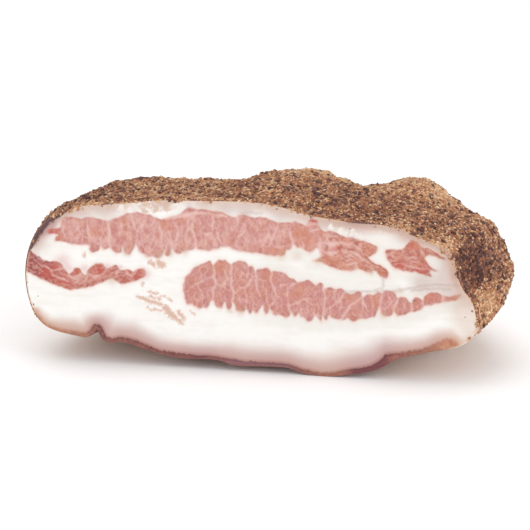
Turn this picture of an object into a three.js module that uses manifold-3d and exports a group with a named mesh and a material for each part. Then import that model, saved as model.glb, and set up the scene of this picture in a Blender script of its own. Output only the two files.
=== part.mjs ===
// Half a guanciale: a cured pork jowl, peppered all round and cut across, lying on its rind.
// +X runs along the cut from left to right, +Y runs from the cut face into the meat, and +Z is up.
// Every size is in millimetres.
import * as THREE from "three";
import { mergeVertices } from "three/addons/utils/BufferGeometryUtils.js";
import Module from "manifold-3d";

const wasm = await Module();
wasm.setup();

// Driving dimensions of the piece
const DEPTH = 108; // from the cut face to the tip behind it
const CORE = { x: 0, z: 33 }; // the line inside the meat that the sections shrink towards
const TIP = { right: 14, low: 4, lag: 1.6 }; // where the tip lies from that line, and how late it drifts
const ROUNDNESS = { side: 2.5, top: 2.3, rind: 3.6 }; // how squarely each side turns in towards the tip
const FLARE = { share: 0.1, at: 40, reach: 26, start: 14 }; // the right end swells behind the cut
const LEAN_DEPTH = 0.7; // the lean dries back this far below the fat on the cut face

// The rind flattens where the piece lies on it
const REST = { blend: 42, sink: 3.4, middle: -2, halfWidth: 92, lift: 17, curl: 3.5, low: 16, high: 34 };

// Rings of points from the cut to the tip
const RINGS = { count: 20, crowding: 1.15, first: 1.2, second: 3, pointsPerCorner: 2 };

// Edge of the cut face, clockwise from the left end: over the peppered top, down the right end, back
// along the rind, with the short deep fold in the rind near its left end
const CUT_EDGE = [
  [-90, 36.7], [-88.6, 45], [-85.8, 51.8], [-83, 55.6], [-79.8, 59], [-74.4, 61.7], [-67.3, 64.8],
  [-57.9, 66.5], [-48.3, 67.2], [-33.7, 69], [-18.7, 69.4], [-2.6, 69.8], [6.4, 69.5], [16.1, 67.8],
  [24.6, 65.6], [37, 64], [49.2, 63.3], [60.2, 61.6], [66.4, 58.6], [73.2, 56.8], [78.5, 54.3],
  [80.6, 50.4], [81.8, 45], [84.4, 38.8], [88.2, 33.5], [89.7, 28], [90, 23.5], [88.1, 19.3],
  [84.5, 16.1], [71.1, 12.2], [58.1, 8], [54.6, 5.5], [48.8, 2.9], [39.4, 0.9], [32.7, 0], [22.8, 0.7],
  [16.4, 2.5], [6.4, 2.5], [-4.9, 2.2], [-11.9, 4], [-27.7, 4.1], [-40, 6.5], [-51.1, 9.4],
  [-54.8, 8.7], [-58.1, 9.5], [-59.7, 11.5], [-61, 13.9], [-62.6, 11.9], [-65.6, 10.5], [-71.4, 11.2],
  [-78.5, 12.7], [-82.6, 14.5], [-85.8, 17.8], [-87.9, 21.9], [-89.5, 28],
];

// Streaks of lean on the cut face
const LEAN = {
  upperStreak: [
    [-79.6, 54.1], [-74.7, 55.2], [-74.2, 59.6], [-69.1, 60.9], [-55.6, 60.9], [-42.7, 63.9],
    [-29.1, 62.7], [-22.8, 65.2], [-8.9, 65.3], [6.4, 63.2], [20, 62.4], [29.3, 63], [32.4, 60.4],
    [46.3, 56.1], [52, 54.2], [48.6, 50.1], [55.3, 44.3], [54.6, 41.8], [49.6, 43.4], [37.3, 44.1],
    [31, 46.4], [27.9, 47.5], [31, 49.4], [30.1, 52], [22.4, 52.4], [16.2, 49.5], [6.4, 49.7],
    [-9.4, 51.4], [-25.4, 48.2], [-39.1, 46.2], [-43.5, 48.4], [-51.7, 46.5], [-57.3, 48.3],
    [-62.9, 47.1], [-62.6, 49.4], [-77.4, 50.3],
  ],
  rightStreak: [
    [54.4, 51.6], [60.4, 53.2], [63.7, 57], [69.5, 53.3], [78.3, 49.9], [69.6, 49.8], [71.2, 47.7],
    [73.6, 45.2], [71.8, 42.9], [58.3, 45.2], [55.3, 47.6],
  ],
  lowerStreak: [
    [-24.8, 32.6], [-20.3, 41.9], [-11.5, 45.5], [-0.8, 45.4], [3.2, 43], [14.2, 41.7], [19, 39.4],
    [34.6, 36.4], [49.8, 35.5], [59.3, 35.3], [68.5, 35.6], [83.3, 36.3], [76.2, 33], [67.2, 29.1],
    [56.1, 26.6], [48.3, 25.4], [42.2, 23.3], [24.9, 22.5], [10, 25.6], [-6.8, 25.6], [-14.4, 27.7],
    [-23.2, 27.3],
  ],
  leftStreak: [
    [-87.2, 43.9], [-82.3, 41.4], [-74.4, 40], [-71.2, 37.8], [-67.4, 39.3], [-64.8, 37.5],
    [-58.1, 41.7], [-50.2, 39.7], [-40.9, 40.4], [-41.4, 36.4], [-48.5, 33.9], [-59, 33.6],
    [-69.4, 30.4], [-80.2, 33.5], [-87.6, 36.4],
  ],
};

// Swellings and hollows of the peppered outside: where each is, its reach, and how far it pushes the skin
const LUMPS = [
  { at: [30, 42, 66], reach: 28, push: [0, 0, 5] },
  { at: [62, 50, 60], reach: 13, push: [1, 0, 7.5] },
  { at: [47, 60, 62], reach: 9, push: [0, 0, -5] },
  { at: [82, 48, 52], reach: 8, push: [-3, 0, -4.5] },
  { at: [92, 30, 42], reach: 17, push: [8, 0, 5.5] },
  { at: [98, 26, 8], reach: 17, push: [-3.5, 0, 4.5] },
  { at: [-85, 14, 50], reach: 14, push: [-3, 0, 2] },
  { at: [-62, 40, 58], reach: 16, push: [0, 2, 2.5] },
  { at: [-22, 50, 64], reach: 14, push: [0, 0, -1.5] },
  { at: [-22, 84, 50], reach: 16, push: [0, -4, -3] },
  { at: [34, 96, 38], reach: 22, push: [0, 6, 0] },
];
const LUMP_START = 18; // the lumps grow over this distance behind the cut

// Slow waves of the skin: wavelength and height of each
const WAVES = [[61, 1], [37, 0.8], [23, 0.6], [14, 0.4], [9.5, 0.28]];
const WAVE_TURN = 2.4; // radians between the headings of two waves
const WAVE_START = 16; // the waves grow over this distance behind the cut
const WAVE_UNDER = 0.4; // share of the waves that the weight of the piece leaves in the rind

// Coarse bits of cracked pepper that stand out of the crust
const GRAIN = { spacing: 9.7, radius: 1.3, spread: 0.3, height: 0.8, lean: 0.25, seed: 20 };
const PEPPER = { firstRow: 2.6, tipGap: 3, lowest: 17 }; // lower than this the outside is bare rind
const WELD = 1e-4; // points nearer than this are one point

const smooth = (from, to, value) => THREE.MathUtils.smoothstep(value, from, to);
const bell = (distance, reach) => Math.exp(-((distance / reach) ** 2) / 2);

// How much of its width a section keeps at depth y
function shrink(y, roundness) {
  return Math.max(0, 1 - (y / DEPTH) ** roundness) ** (1 / roundness);
}

// Height of the slow waves at a point
function waves(p) {
  return WAVES.reduce((sum, [length, height], i) => {
    const heading = i * WAVE_TURN;
    const along = p.x * Math.cos(heading) + p.y * Math.sin(heading) + p.z * Math.sin(heading + i);
    return sum + height * Math.sin((2 * Math.PI * along) / length + i);
  }, 0);
}

// The point of the outside at depth y that lies behind one point of the cut's edge
function skin(edge, y) {
  const swelling = bell(y - FLARE.at, FLARE.reach) * smooth(0, FLARE.start, y);
  const flare = edge.x > CORE.x ? 1 + FLARE.share * swelling : 1;
  const middle = CORE.x + TIP.right * (y / DEPTH) ** TIP.lag;
  const x = middle + (edge.x - CORE.x) * shrink(y, ROUNDNESS.side) * flare;

  // The hidden rind evens out from the curve of the cut to one that lies flat
  const under = 1 - smooth(REST.low, REST.high, edge.z);
  const lying = REST.lift * Math.abs((edge.x - REST.middle) / REST.halfWidth) ** REST.curl;
  const behind = smooth(0, REST.blend, y);
  const level = THREE.MathUtils.lerp(edge.z, lying, under * behind);
  const roundness = THREE.MathUtils.lerp(ROUNDNESS.top, ROUNDNESS.rind, under);
  const z = CORE.z + (level - CORE.z) * shrink(y, roundness) - REST.sink * under * behind;

  const p = new THREE.Vector3(x, y, z);
  for (const { at, reach, push } of LUMPS) {
    const share = bell(p.distanceTo(new THREE.Vector3(...at)), reach) * smooth(0, LUMP_START, y);
    p.addScaledVector(new THREE.Vector3(...push), share);
  }
  const outward = new THREE.Vector3(p.x - middle, 0, p.z - CORE.z).normalize();
  const waviness = smooth(0, WAVE_START, y) * THREE.MathUtils.lerp(1, WAVE_UNDER, under);
  p.addScaledVector(outward, waves(p) * waviness);
  p.z = Math.max(0, p.z);
  return p;
}

// Outline of the cut face as a smooth closed line
function cutEdge() {
  const corners = CUT_EDGE.map(([x, z]) => new THREE.Vector3(x, 0, z));
  const curve = new THREE.CatmullRomCurve3(corners, true, "centripetal");
  return curve.getPoints(CUT_EDGE.length * RINGS.pointsPerCorner).slice(0, -1);
}

// Depths of the rings: close together at the cut and at the tip
function ringDepths() {
  const depths = [0, RINGS.first];
  for (let i = 1; i <= RINGS.count; i++) {
    const y = DEPTH * Math.sin(((Math.PI / 2) * i) / (RINGS.count + 1)) ** RINGS.crowding;
    if (y > RINGS.second) {
      depths.push(y);
    }
  }
  return depths;
}

// Closed mesh of the whole outside: the flat cut face, the rings of skin and the tip
function jowlGeometry() {
  const edge = cutEdge();
  const rings = ringDepths().map((y) => edge.map((p) => skin(p, y)));
  const around = edge.length;
  const points = rings.flat();
  const tip = points.push(new THREE.Vector3(CORE.x + TIP.right, DEPTH, CORE.z - TIP.low)) - 1;
  const flat = edge.map((p) => new THREE.Vector2(p.x, p.z));
  const index = THREE.ShapeUtils.triangulateShape(flat, []).flat();
  for (let ring = 0; ring < rings.length - 1; ring++) {
    for (let i = 0; i < around; i++) {
      const a = ring * around + i;
      const b = ring * around + ((i + 1) % around);
      index.push(a, b, a + around, b, b + around, a + around);
    }
  }
  const last = (rings.length - 1) * around;
  for (let i = 0; i < around; i++) {
    index.push(last + i, last + ((i + 1) % around), tip);
  }
  const geometry = new THREE.BufferGeometry().setFromPoints(points);
  geometry.setIndex(index);
  return geometry;
}

// The same mesh with its shared corners merged
function welded(geometry) {
  const bare = geometry.clone();
  bare.deleteAttribute("normal");
  bare.deleteAttribute("uv");
  return mergeVertices(bare, WELD);
}

function solid(geometry) {
  const mesh = welded(geometry);
  return new wasm.Manifold(new wasm.Mesh({
    numProp: 3,
    vertProperties: mesh.attributes.position.array,
    triVerts: new Uint32Array(mesh.index.array),
  }));
}

function geometryOf(manifold) {
  const { vertProperties, triVerts } = manifold.getMesh();
  const geometry = new THREE.BufferGeometry();
  geometry.setAttribute("position", new THREE.BufferAttribute(vertProperties, 3));
  geometry.setIndex(new THREE.BufferAttribute(triVerts, 1));
  geometry.computeVertexNormals();
  return geometry;
}

// A streak of lean as the shallow block that the cut face sinks by
function leanBlock(outline) {
  const shape = new THREE.Shape(outline.map(([x, z]) => new THREE.Vector2(x, z)));
  const block = new THREE.ExtrudeGeometry(shape, { depth: LEAN_DEPTH * 2, bevelEnabled: false });
  block.rotateX(Math.PI / 2);
  block.translate(0, LEAN_DEPTH, 0);
  return solid(block);
}

// A repeatable run of numbers between 0 and 1
function draws(seed) {
  let state = seed;
  return () => {
    state = (state * 1664525 + 1013904223) % 4294967296;
    return state / 4294967296;
  };
}

// One low angular bit of cracked pepper, half sunk in the skin and leaning a little off its normal
function pepperGrain(point, normal, draw) {
  const vary = (reach) => reach * (2 * draw() - 1);
  const radius = GRAIN.radius * (1 + vary(GRAIN.spread));
  const shard = welded(new THREE.OctahedronGeometry(radius, 0));
  const corners = shard.attributes.position;
  for (let i = 0; i < corners.count; i++) {
    corners.setX(i, corners.getX(i) * (1 + vary(GRAIN.spread)) + radius * vary(GRAIN.spread / 2));
    corners.setY(i, corners.getY(i) * (1 + vary(GRAIN.spread)) + radius * vary(GRAIN.spread / 2));
  }
  shard.scale(1, 1, GRAIN.height);
  shard.rotateZ(2 * Math.PI * draw());
  const lean = new THREE.Vector3(vary(GRAIN.lean), vary(GRAIN.lean), vary(GRAIN.lean));
  shard.applyQuaternion(new THREE.Quaternion().setFromUnitVectors(
    new THREE.Vector3(0, 0, 1), lean.add(normal).normalize(),
  ));
  shard.translate(point.x, point.y, point.z);
  return solid(shard);
}

// Bits of pepper spread evenly over the peppered outside, row by row from the cut to the tip
function pepper() {
  const draw = draws(GRAIN.seed);
  const edge = cutEdge();
  const at = (turn, y) => {
    const place = (((turn % 1) + 1) % 1) * edge.length;
    const i = Math.floor(place);
    return skin(edge[i].clone().lerp(edge[(i + 1) % edge.length], place - i), y);
  };
  const grains = [];
  let y = PEPPER.firstRow;
  while (y < DEPTH - PEPPER.tipGap) {
    const row = edge.map((p) => skin(p, y));
    const length = row.reduce((sum, p, i) => sum + p.distanceTo(row[(i + 1) % row.length]), 0);
    const count = Math.max(3, Math.round(length / GRAIN.spacing));
    for (let i = 0; i < count; i++) {
      const turn = (i + 0.7 * draw()) / count;
      const deep = Math.min(DEPTH - PEPPER.tipGap / 2, y + (GRAIN.spacing / 2) * draw());
      const point = at(turn, deep);
      const along = at(turn + 0.004, deep).sub(at(turn - 0.004, deep));
      const inward = at(turn, deep + 0.6).sub(at(turn, deep - 0.6));
      if (point.z > PEPPER.lowest) {
        grains.push(pepperGrain(point, inward.cross(along).normalize(), draw));
      }
    }
    y += GRAIN.spacing * THREE.MathUtils.lerp(0.35, 1, shrink(y, ROUNDNESS.side));
  }
  return grains;
}

const cut = [solid(jowlGeometry()), ...Object.values(LEAN).map(leanBlock)];
const geometry = geometryOf(wasm.Manifold.union([wasm.Manifold.difference(cut), ...pepper()]));
geometry.computeBoundingBox();

// The origin is at the middle of the piece's base
const { min, max } = geometry.boundingBox;
const guanciale = new THREE.Mesh(
  geometry,
  new THREE.MeshStandardMaterial({ color: 0xa1755c, roughness: 0.85, metalness: 0 }),
);
guanciale.name = "guanciale";
guanciale.position.set(-(min.x + max.x) / 2, -(min.y + max.y) / 2, -min.z);

const part = new THREE.Group();
part.add(guanciale);
export default part;
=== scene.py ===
# Half a guanciale: a cured pork jowl lying on its rind, cut across to show its streaks of lean, and
# packed in coarse ground pepper everywhere but underneath.
import math
from functools import partial, reduce
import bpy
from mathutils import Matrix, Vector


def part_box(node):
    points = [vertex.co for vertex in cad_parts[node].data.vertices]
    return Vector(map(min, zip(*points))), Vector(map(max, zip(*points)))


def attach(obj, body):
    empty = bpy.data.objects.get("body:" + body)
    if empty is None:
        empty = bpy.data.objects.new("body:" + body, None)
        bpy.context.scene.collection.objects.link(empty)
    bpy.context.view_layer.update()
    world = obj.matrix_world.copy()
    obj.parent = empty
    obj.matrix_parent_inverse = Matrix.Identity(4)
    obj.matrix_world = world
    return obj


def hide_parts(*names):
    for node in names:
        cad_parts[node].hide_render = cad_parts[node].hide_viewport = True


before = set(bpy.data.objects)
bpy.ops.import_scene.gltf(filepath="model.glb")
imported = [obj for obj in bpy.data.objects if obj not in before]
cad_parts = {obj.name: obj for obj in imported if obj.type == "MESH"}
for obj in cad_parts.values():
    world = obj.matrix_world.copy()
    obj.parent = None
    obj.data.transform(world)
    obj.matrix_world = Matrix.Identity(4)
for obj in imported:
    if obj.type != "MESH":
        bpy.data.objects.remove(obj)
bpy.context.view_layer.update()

from types import SimpleNamespace

import bpy
import numpy as np
from mathutils import Vector, noise

MM = 0.001
JOWL = "guanciale"

# The jowl's shape, in millimetres: x along the cut from its middle, y behind the cut, z up from the base.
# These are the dimensions of the solid, and the skin below follows the same rule.
DEPTH = 108
CORE = {"x": 0, "z": 33}
TIP = {"right": 14, "low": 4, "lag": 1.6}
ROUNDNESS = {"side": 2.5, "top": 2.3, "rind": 3.6}
FLARE = {"share": 0.1, "at": 40, "reach": 26, "start": 14}
LEAN_DEPTH = 0.7
REST = {
    "blend": 42, "sink": 3.4, "middle": -2, "half_width": 92, "lift": 17, "curl": 3.5, "low": 16, "high": 34,
}
CUT_EDGE = [
    [-90, 36.7], [-88.6, 45], [-85.8, 51.8], [-83, 55.6], [-79.8, 59], [-74.4, 61.7], [-67.3, 64.8],
    [-57.9, 66.5], [-48.3, 67.2], [-33.7, 69], [-18.7, 69.4], [-2.6, 69.8], [6.4, 69.5], [16.1, 67.8],
    [24.6, 65.6], [37, 64], [49.2, 63.3], [60.2, 61.6], [66.4, 58.6], [73.2, 56.8], [78.5, 54.3],
    [80.6, 50.4], [81.8, 45], [84.4, 38.8], [88.2, 33.5], [89.7, 28], [90, 23.5], [88.1, 19.3],
    [84.5, 16.1], [71.1, 12.2], [58.1, 8], [54.6, 5.5], [48.8, 2.9], [39.4, 0.9], [32.7, 0], [22.8, 0.7],
    [16.4, 2.5], [6.4, 2.5], [-4.9, 2.2], [-11.9, 4], [-27.7, 4.1], [-40, 6.5], [-51.1, 9.4],
    [-54.8, 8.7], [-58.1, 9.5], [-59.7, 11.5], [-61, 13.9], [-62.6, 11.9], [-65.6, 10.5], [-71.4, 11.2],
    [-78.5, 12.7], [-82.6, 14.5], [-85.8, 17.8], [-87.9, 21.9], [-89.5, 28],
]
LUMPS = [
    ([30, 42, 66], 28, [0, 0, 5]),
    ([62, 50, 60], 13, [1, 0, 7.5]),
    ([47, 60, 62], 9, [0, 0, -5]),
    ([82, 48, 52], 8, [-3, 0, -4.5]),
    ([92, 30, 42], 17, [8, 0, 5.5]),
    ([98, 26, 8], 17, [-3.5, 0, 4.5]),
    ([-85, 14, 50], 14, [-3, 0, 2]),
    ([-62, 40, 58], 16, [0, 2, 2.5]),
    ([-22, 50, 64], 14, [0, 0, -1.5]),
    ([-22, 84, 50], 16, [0, -4, -3]),
    ([34, 96, 38], 22, [0, 6, 0]),
]
LUMP_START = 18
WAVES = [[61, 1], [37, 0.8], [23, 0.6], [14, 0.4], [9.5, 0.28]]
WAVE_TURN = 2.4
WAVE_START = 16
WAVE_UNDER = 0.4
GRAIN = {"spacing": 9.7, "radius": 1.3, "spread": 0.3, "height": 0.8, "lean": 0.25, "seed": 20, "draws": 24}
PEPPER = {
    "first_row": 2.6, "tip_gap": 3, "lowest": 17, "stray": 0.7, "turn": 0.004, "step": 0.6, "closer": 0.35,
}
DRAW = {"times": 1664525, "plus": 1013904223, "range": 4294967296}

# Fineness of the jowl's mesh: columns round the cut, and rows behind and across it
COLUMNS = 760
SKIN_ROWS = 44
FACE_ROWS = 80
RIM_ROWS = [(0.9, 0), (0.45, 0), (0.18, 0.06), (0.04, 0.22), (0, 0.5), (0, 1)]  # depth and inset of each
FIRST_FACE_ROW = SKIN_ROWS + len(RIM_ROWS) - 2
CORE_REACH = 65  # the cut face is drawn in to a line this long each way
WELD = 1e-6
EDGE_STEPS = {"mesh": 24, "face": 4, "pepper": 2}  # steps from one corner of the cut's edge to the next
DEPTH_STEPS = 4000
GROUP_STEPS = 40

# Streaks of lean on the cut face
LEAN = {
    "upper streak": [
        [-80.4, 53.9], [-78.2, 55.1], [-75.5, 55.5], [-74.2, 56.4], [-73.7, 59.3], [-72.9, 60],
        [-70.8, 60.2], [-67.9, 60.2], [-65.5, 59.7], [-63, 60.6], [-61, 60.5], [-58.6, 59.8],
        [-56.6, 59.7], [-55.3, 59.5], [-54.3, 59.6], [-53.3, 60], [-51.3, 60.9], [-49.2, 61.6],
        [-47.6, 62.7], [-46, 62.9], [-43.5, 63.2], [-40.3, 63], [-37.9, 62.3], [-35.6, 61.4],
        [-33.6, 60.9], [-31.5, 61.4], [-29.5, 62.3], [-27.1, 62.8], [-25.5, 63.6], [-24.3, 65.1],
        [-23.1, 65.6], [-20.3, 65.8], [-16.8, 65.5], [-12.8, 65.3], [-8.5, 64.5], [-6.1, 63.5],
        [-3.8, 63], [-3, 63.8], [-1.4, 64.3], [0.9, 64], [2.9, 63.1], [4.8, 63.6], [7.6, 63.2],
        [10.3, 62.5], [12.2, 61.7], [15, 61.6], [17.3, 62], [19.6, 62.4], [21.2, 61.7], [23.5, 61.4],
        [24.3, 62.6], [25.4, 63.5], [27, 63.7], [28.3, 63], [28.3, 61.6], [28.9, 60.3], [30.1, 59.1],
        [32.8, 59.1], [35.5, 58.6], [37.4, 57.5], [39.7, 57], [41.7, 57.2], [44, 56.2], [46.7, 55.6],
        [49.4, 54.7], [51.3, 53.8], [50.8, 52.2], [49.4, 50.5], [47.7, 49.5], [49.1, 48.1], [51.1, 46.9],
        [53, 46.2], [54.7, 44.8], [55.6, 42.9], [54.8, 41.5], [53.3, 41.9], [51.5, 43.3], [50.1, 44.5],
        [49, 43.1], [46.9, 43.7], [44.2, 44.7], [42.5, 44.1], [39.2, 43.7], [36.1, 44.1], [33.4, 44.9],
        [30.6, 46.1], [28.7, 46.8], [26.4, 47.1], [28.3, 47.9], [29.2, 49.2], [28.8, 51.5], [27.5, 52.2],
        [26.1, 50.9], [24.6, 50.2], [23.2, 51.3], [21.6, 52], [19.7, 52.1], [18.6, 53], [17.9, 51.8],
        [16.8, 50.9], [15.8, 50.5], [15.2, 49], [13.1, 48.3], [9.9, 48.3], [6.8, 48.6], [3.6, 49.1],
        [-0.3, 49.3], [-3.5, 49.7], [-5.2, 50.2], [-6.8, 50.8], [-9.5, 51], [-11, 50], [-13.8, 49.3],
        [-17, 49.2], [-19.4, 49.5], [-20.1, 50.3], [-20.8, 49.4], [-23.8, 48.5], [-25.8, 47.7],
        [-27.4, 47.2], [-28.6, 48.2], [-29.5, 49.8], [-30, 47.5], [-31, 46.1], [-32, 46.5], [-32.5, 48],
        [-33, 46.5], [-35.1, 45.1], [-37.5, 45.6], [-39.5, 45.2], [-41.1, 46.6], [-42.5, 47.1],
        [-43.9, 50], [-45.5, 47.6], [-46, 46.4], [-47.4, 46], [-48.8, 46.9], [-49.3, 48.4], [-50, 46.8],
        [-51.7, 46.3], [-53.4, 47.2], [-54.7, 48.8], [-55.7, 48], [-56.9, 47.4], [-57.9, 48.1],
        [-58.4, 49.2], [-59.2, 47.3], [-61.1, 46.2], [-62.5, 46.3], [-63.1, 47.3], [-62.5, 48.3],
        [-63.4, 49], [-66.7, 49.1], [-70, 49.1], [-72, 49.9], [-74.9, 50.1], [-76.9, 50.4],
        [-76.9, 51.8], [-75.6, 52.6], [-77.2, 52.8], [-79.2, 53.1],
    ],
    "right streak": [
        [54.4, 52.8], [57.1, 53.1], [60.3, 53], [61.7, 54.4], [62.3, 55.7], [64.2, 57.1], [66.3, 56.3],
        [67.8, 54.6], [69.6, 54.3], [71.8, 53.4], [73.6, 52.6], [76, 51], [77.2, 50.1], [74.8, 50.3],
        [73, 51.1], [70.9, 51.4], [69.5, 50.5], [69.7, 49.1], [71, 47.5], [72.3, 46.2], [74.3, 45.5],
        [71.9, 45.4], [71.4, 44.6], [71.9, 43.2], [71.2, 42.8], [68.5, 43.6], [65.4, 44.4], [61.8, 44.8],
        [57.9, 45.4], [56.3, 47.2], [54.8, 49], [54.1, 50.9],
    ],
    "lower streak": [
        [-25, 33.9], [-24.5, 37], [-23.3, 38.9], [-21.9, 40.6], [-19.9, 42.4], [-17.4, 43.6],
        [-15.4, 44.6], [-14, 44.8], [-12.9, 43.3], [-12, 44.5], [-10.6, 45.6], [-9.4, 45.3],
        [-8.3, 45.7], [-7.1, 44.8], [-5.8, 44], [-4.7, 44.8], [-2.7, 45.6], [-0.7, 45.6], [0.4, 44.5],
        [1.1, 43.8], [2.4, 43.7], [3.2, 42.7], [3.7, 41.3], [4.5, 42.3], [6.4, 43], [8.4, 43.2],
        [9.5, 42.3], [10.1, 41.1], [10.9, 42], [13.5, 42], [15.8, 41.2], [16.8, 39.7], [19, 39.4],
        [20.2, 38.3], [22.1, 38.5], [24.5, 39.1], [26, 38.6], [27.4, 37.4], [28.8, 38.3], [30.1, 37.8],
        [30.9, 35.8], [32.1, 36.5], [33.6, 36.9], [35, 35.9], [37.3, 36.5], [39.3, 35], [40.9, 34.5],
        [42.8, 35], [44.3, 35.7], [45.4, 35], [45.9, 33.4], [47.6, 34.9], [49.8, 34.4], [51.5, 36],
        [53.3, 35.2], [54.4, 36.3], [56.7, 36.5], [58.6, 35.3], [59.3, 33.8], [61.3, 34.4], [63.1, 33.5],
        [64.6, 32.2], [65.5, 34], [67.4, 34.3], [68.7, 33.2], [69.7, 35.1], [71.9, 36.7], [74, 37],
        [75.9, 35.9], [78.1, 35.5], [80.7, 35.9], [83.3, 36.9], [83.5, 35.6], [81.5, 34.4], [78.9, 33.6],
        [75.9, 33], [73.6, 32.1], [71, 31.6], [69.4, 31.1], [68.7, 29.9], [66.8, 29.1], [64.4, 28.4],
        [61.9, 27.3], [59.2, 26.5], [58, 27.8], [56.9, 26.9], [54.8, 26.1], [53.2, 27.2], [52, 29.3],
        [51.2, 26.8], [50, 25.7], [47.2, 25], [44.2, 24.2], [42.4, 23.4], [39.9, 24.5], [37.9, 23.7],
        [36, 24.2], [34, 24.3], [33.1, 25.8], [32.4, 23.7], [31.2, 23.2], [30.5, 24.8], [29.7, 22.7],
        [28.6, 23.5], [27.9, 24.7], [26.9, 25], [26.2, 23.1], [24.8, 22.4], [23.6, 23.2], [22.6, 24.1],
        [21.7, 24.1], [21.1, 25.9], [20.2, 24.2], [18.9, 24.3], [18, 26.1], [17.3, 24.5], [16, 23.3],
        [14.5, 23.9], [13.1, 24.8], [11.7, 24.2], [10.1, 25.4], [9.4, 27.1], [8.8, 24.8], [7.8, 24.4],
        [6.8, 27.2], [6, 27.6], [5.2, 25.6], [3.8, 24.4], [2.6, 25.7], [1.8, 24.5], [0.6, 25.2],
        [-0.1, 26.8], [-1, 25], [-2.6, 24.6], [-4, 25.5], [-5.4, 28.3], [-6.1, 26], [-7, 25.3],
        [-8.1, 26.4], [-8.6, 28.2], [-9.4, 26.1], [-10.8, 25.9], [-12.6, 27.5], [-13.5, 28.9],
        [-14.6, 27.4], [-15.8, 25.8], [-17.1, 26.1], [-18.7, 25.1], [-20.5, 25.9], [-22.1, 26.9],
        [-23.7, 27], [-24.5, 28.9], [-25.1, 31.4],
    ],
    "left streak": [
        [-87.9, 46.2], [-86.5, 44.9], [-84.1, 43.4], [-82, 41.9], [-79.5, 41.6], [-76.9, 41.9],
        [-74.9, 40.9], [-74.2, 39.6], [-73.3, 38.5], [-71.7, 36.9], [-70.3, 38.1], [-69.6, 39.1],
        [-68.1, 39.5], [-66.9, 38.8], [-66.3, 37.8], [-65.2, 36.7], [-64, 38.2], [-62.2, 40.6],
        [-60.3, 41.7], [-57.9, 41.8], [-56.6, 40.7], [-55.7, 39.9], [-54.4, 40.8], [-52.6, 41.4],
        [-51.3, 40.4], [-50.4, 39.3], [-48.2, 39.9], [-46.6, 39.6], [-45.3, 39], [-43.8, 40.1],
        [-42, 40.6], [-40.2, 39.6], [-40.2, 38.5], [-41, 37.2], [-43.2, 35.6], [-45.8, 35],
        [-48.8, 33.8], [-51, 34.2], [-52.8, 35.1], [-55, 35.3], [-57.6, 34.2], [-60.6, 33.1],
        [-63.2, 31.8], [-66.6, 31.2], [-69.9, 30.4], [-72.9, 30.4], [-76.2, 31.6], [-79.9, 32.7],
        [-83.9, 34.4], [-87.2, 36.1], [-90, 37.1],
    ],
}

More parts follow.
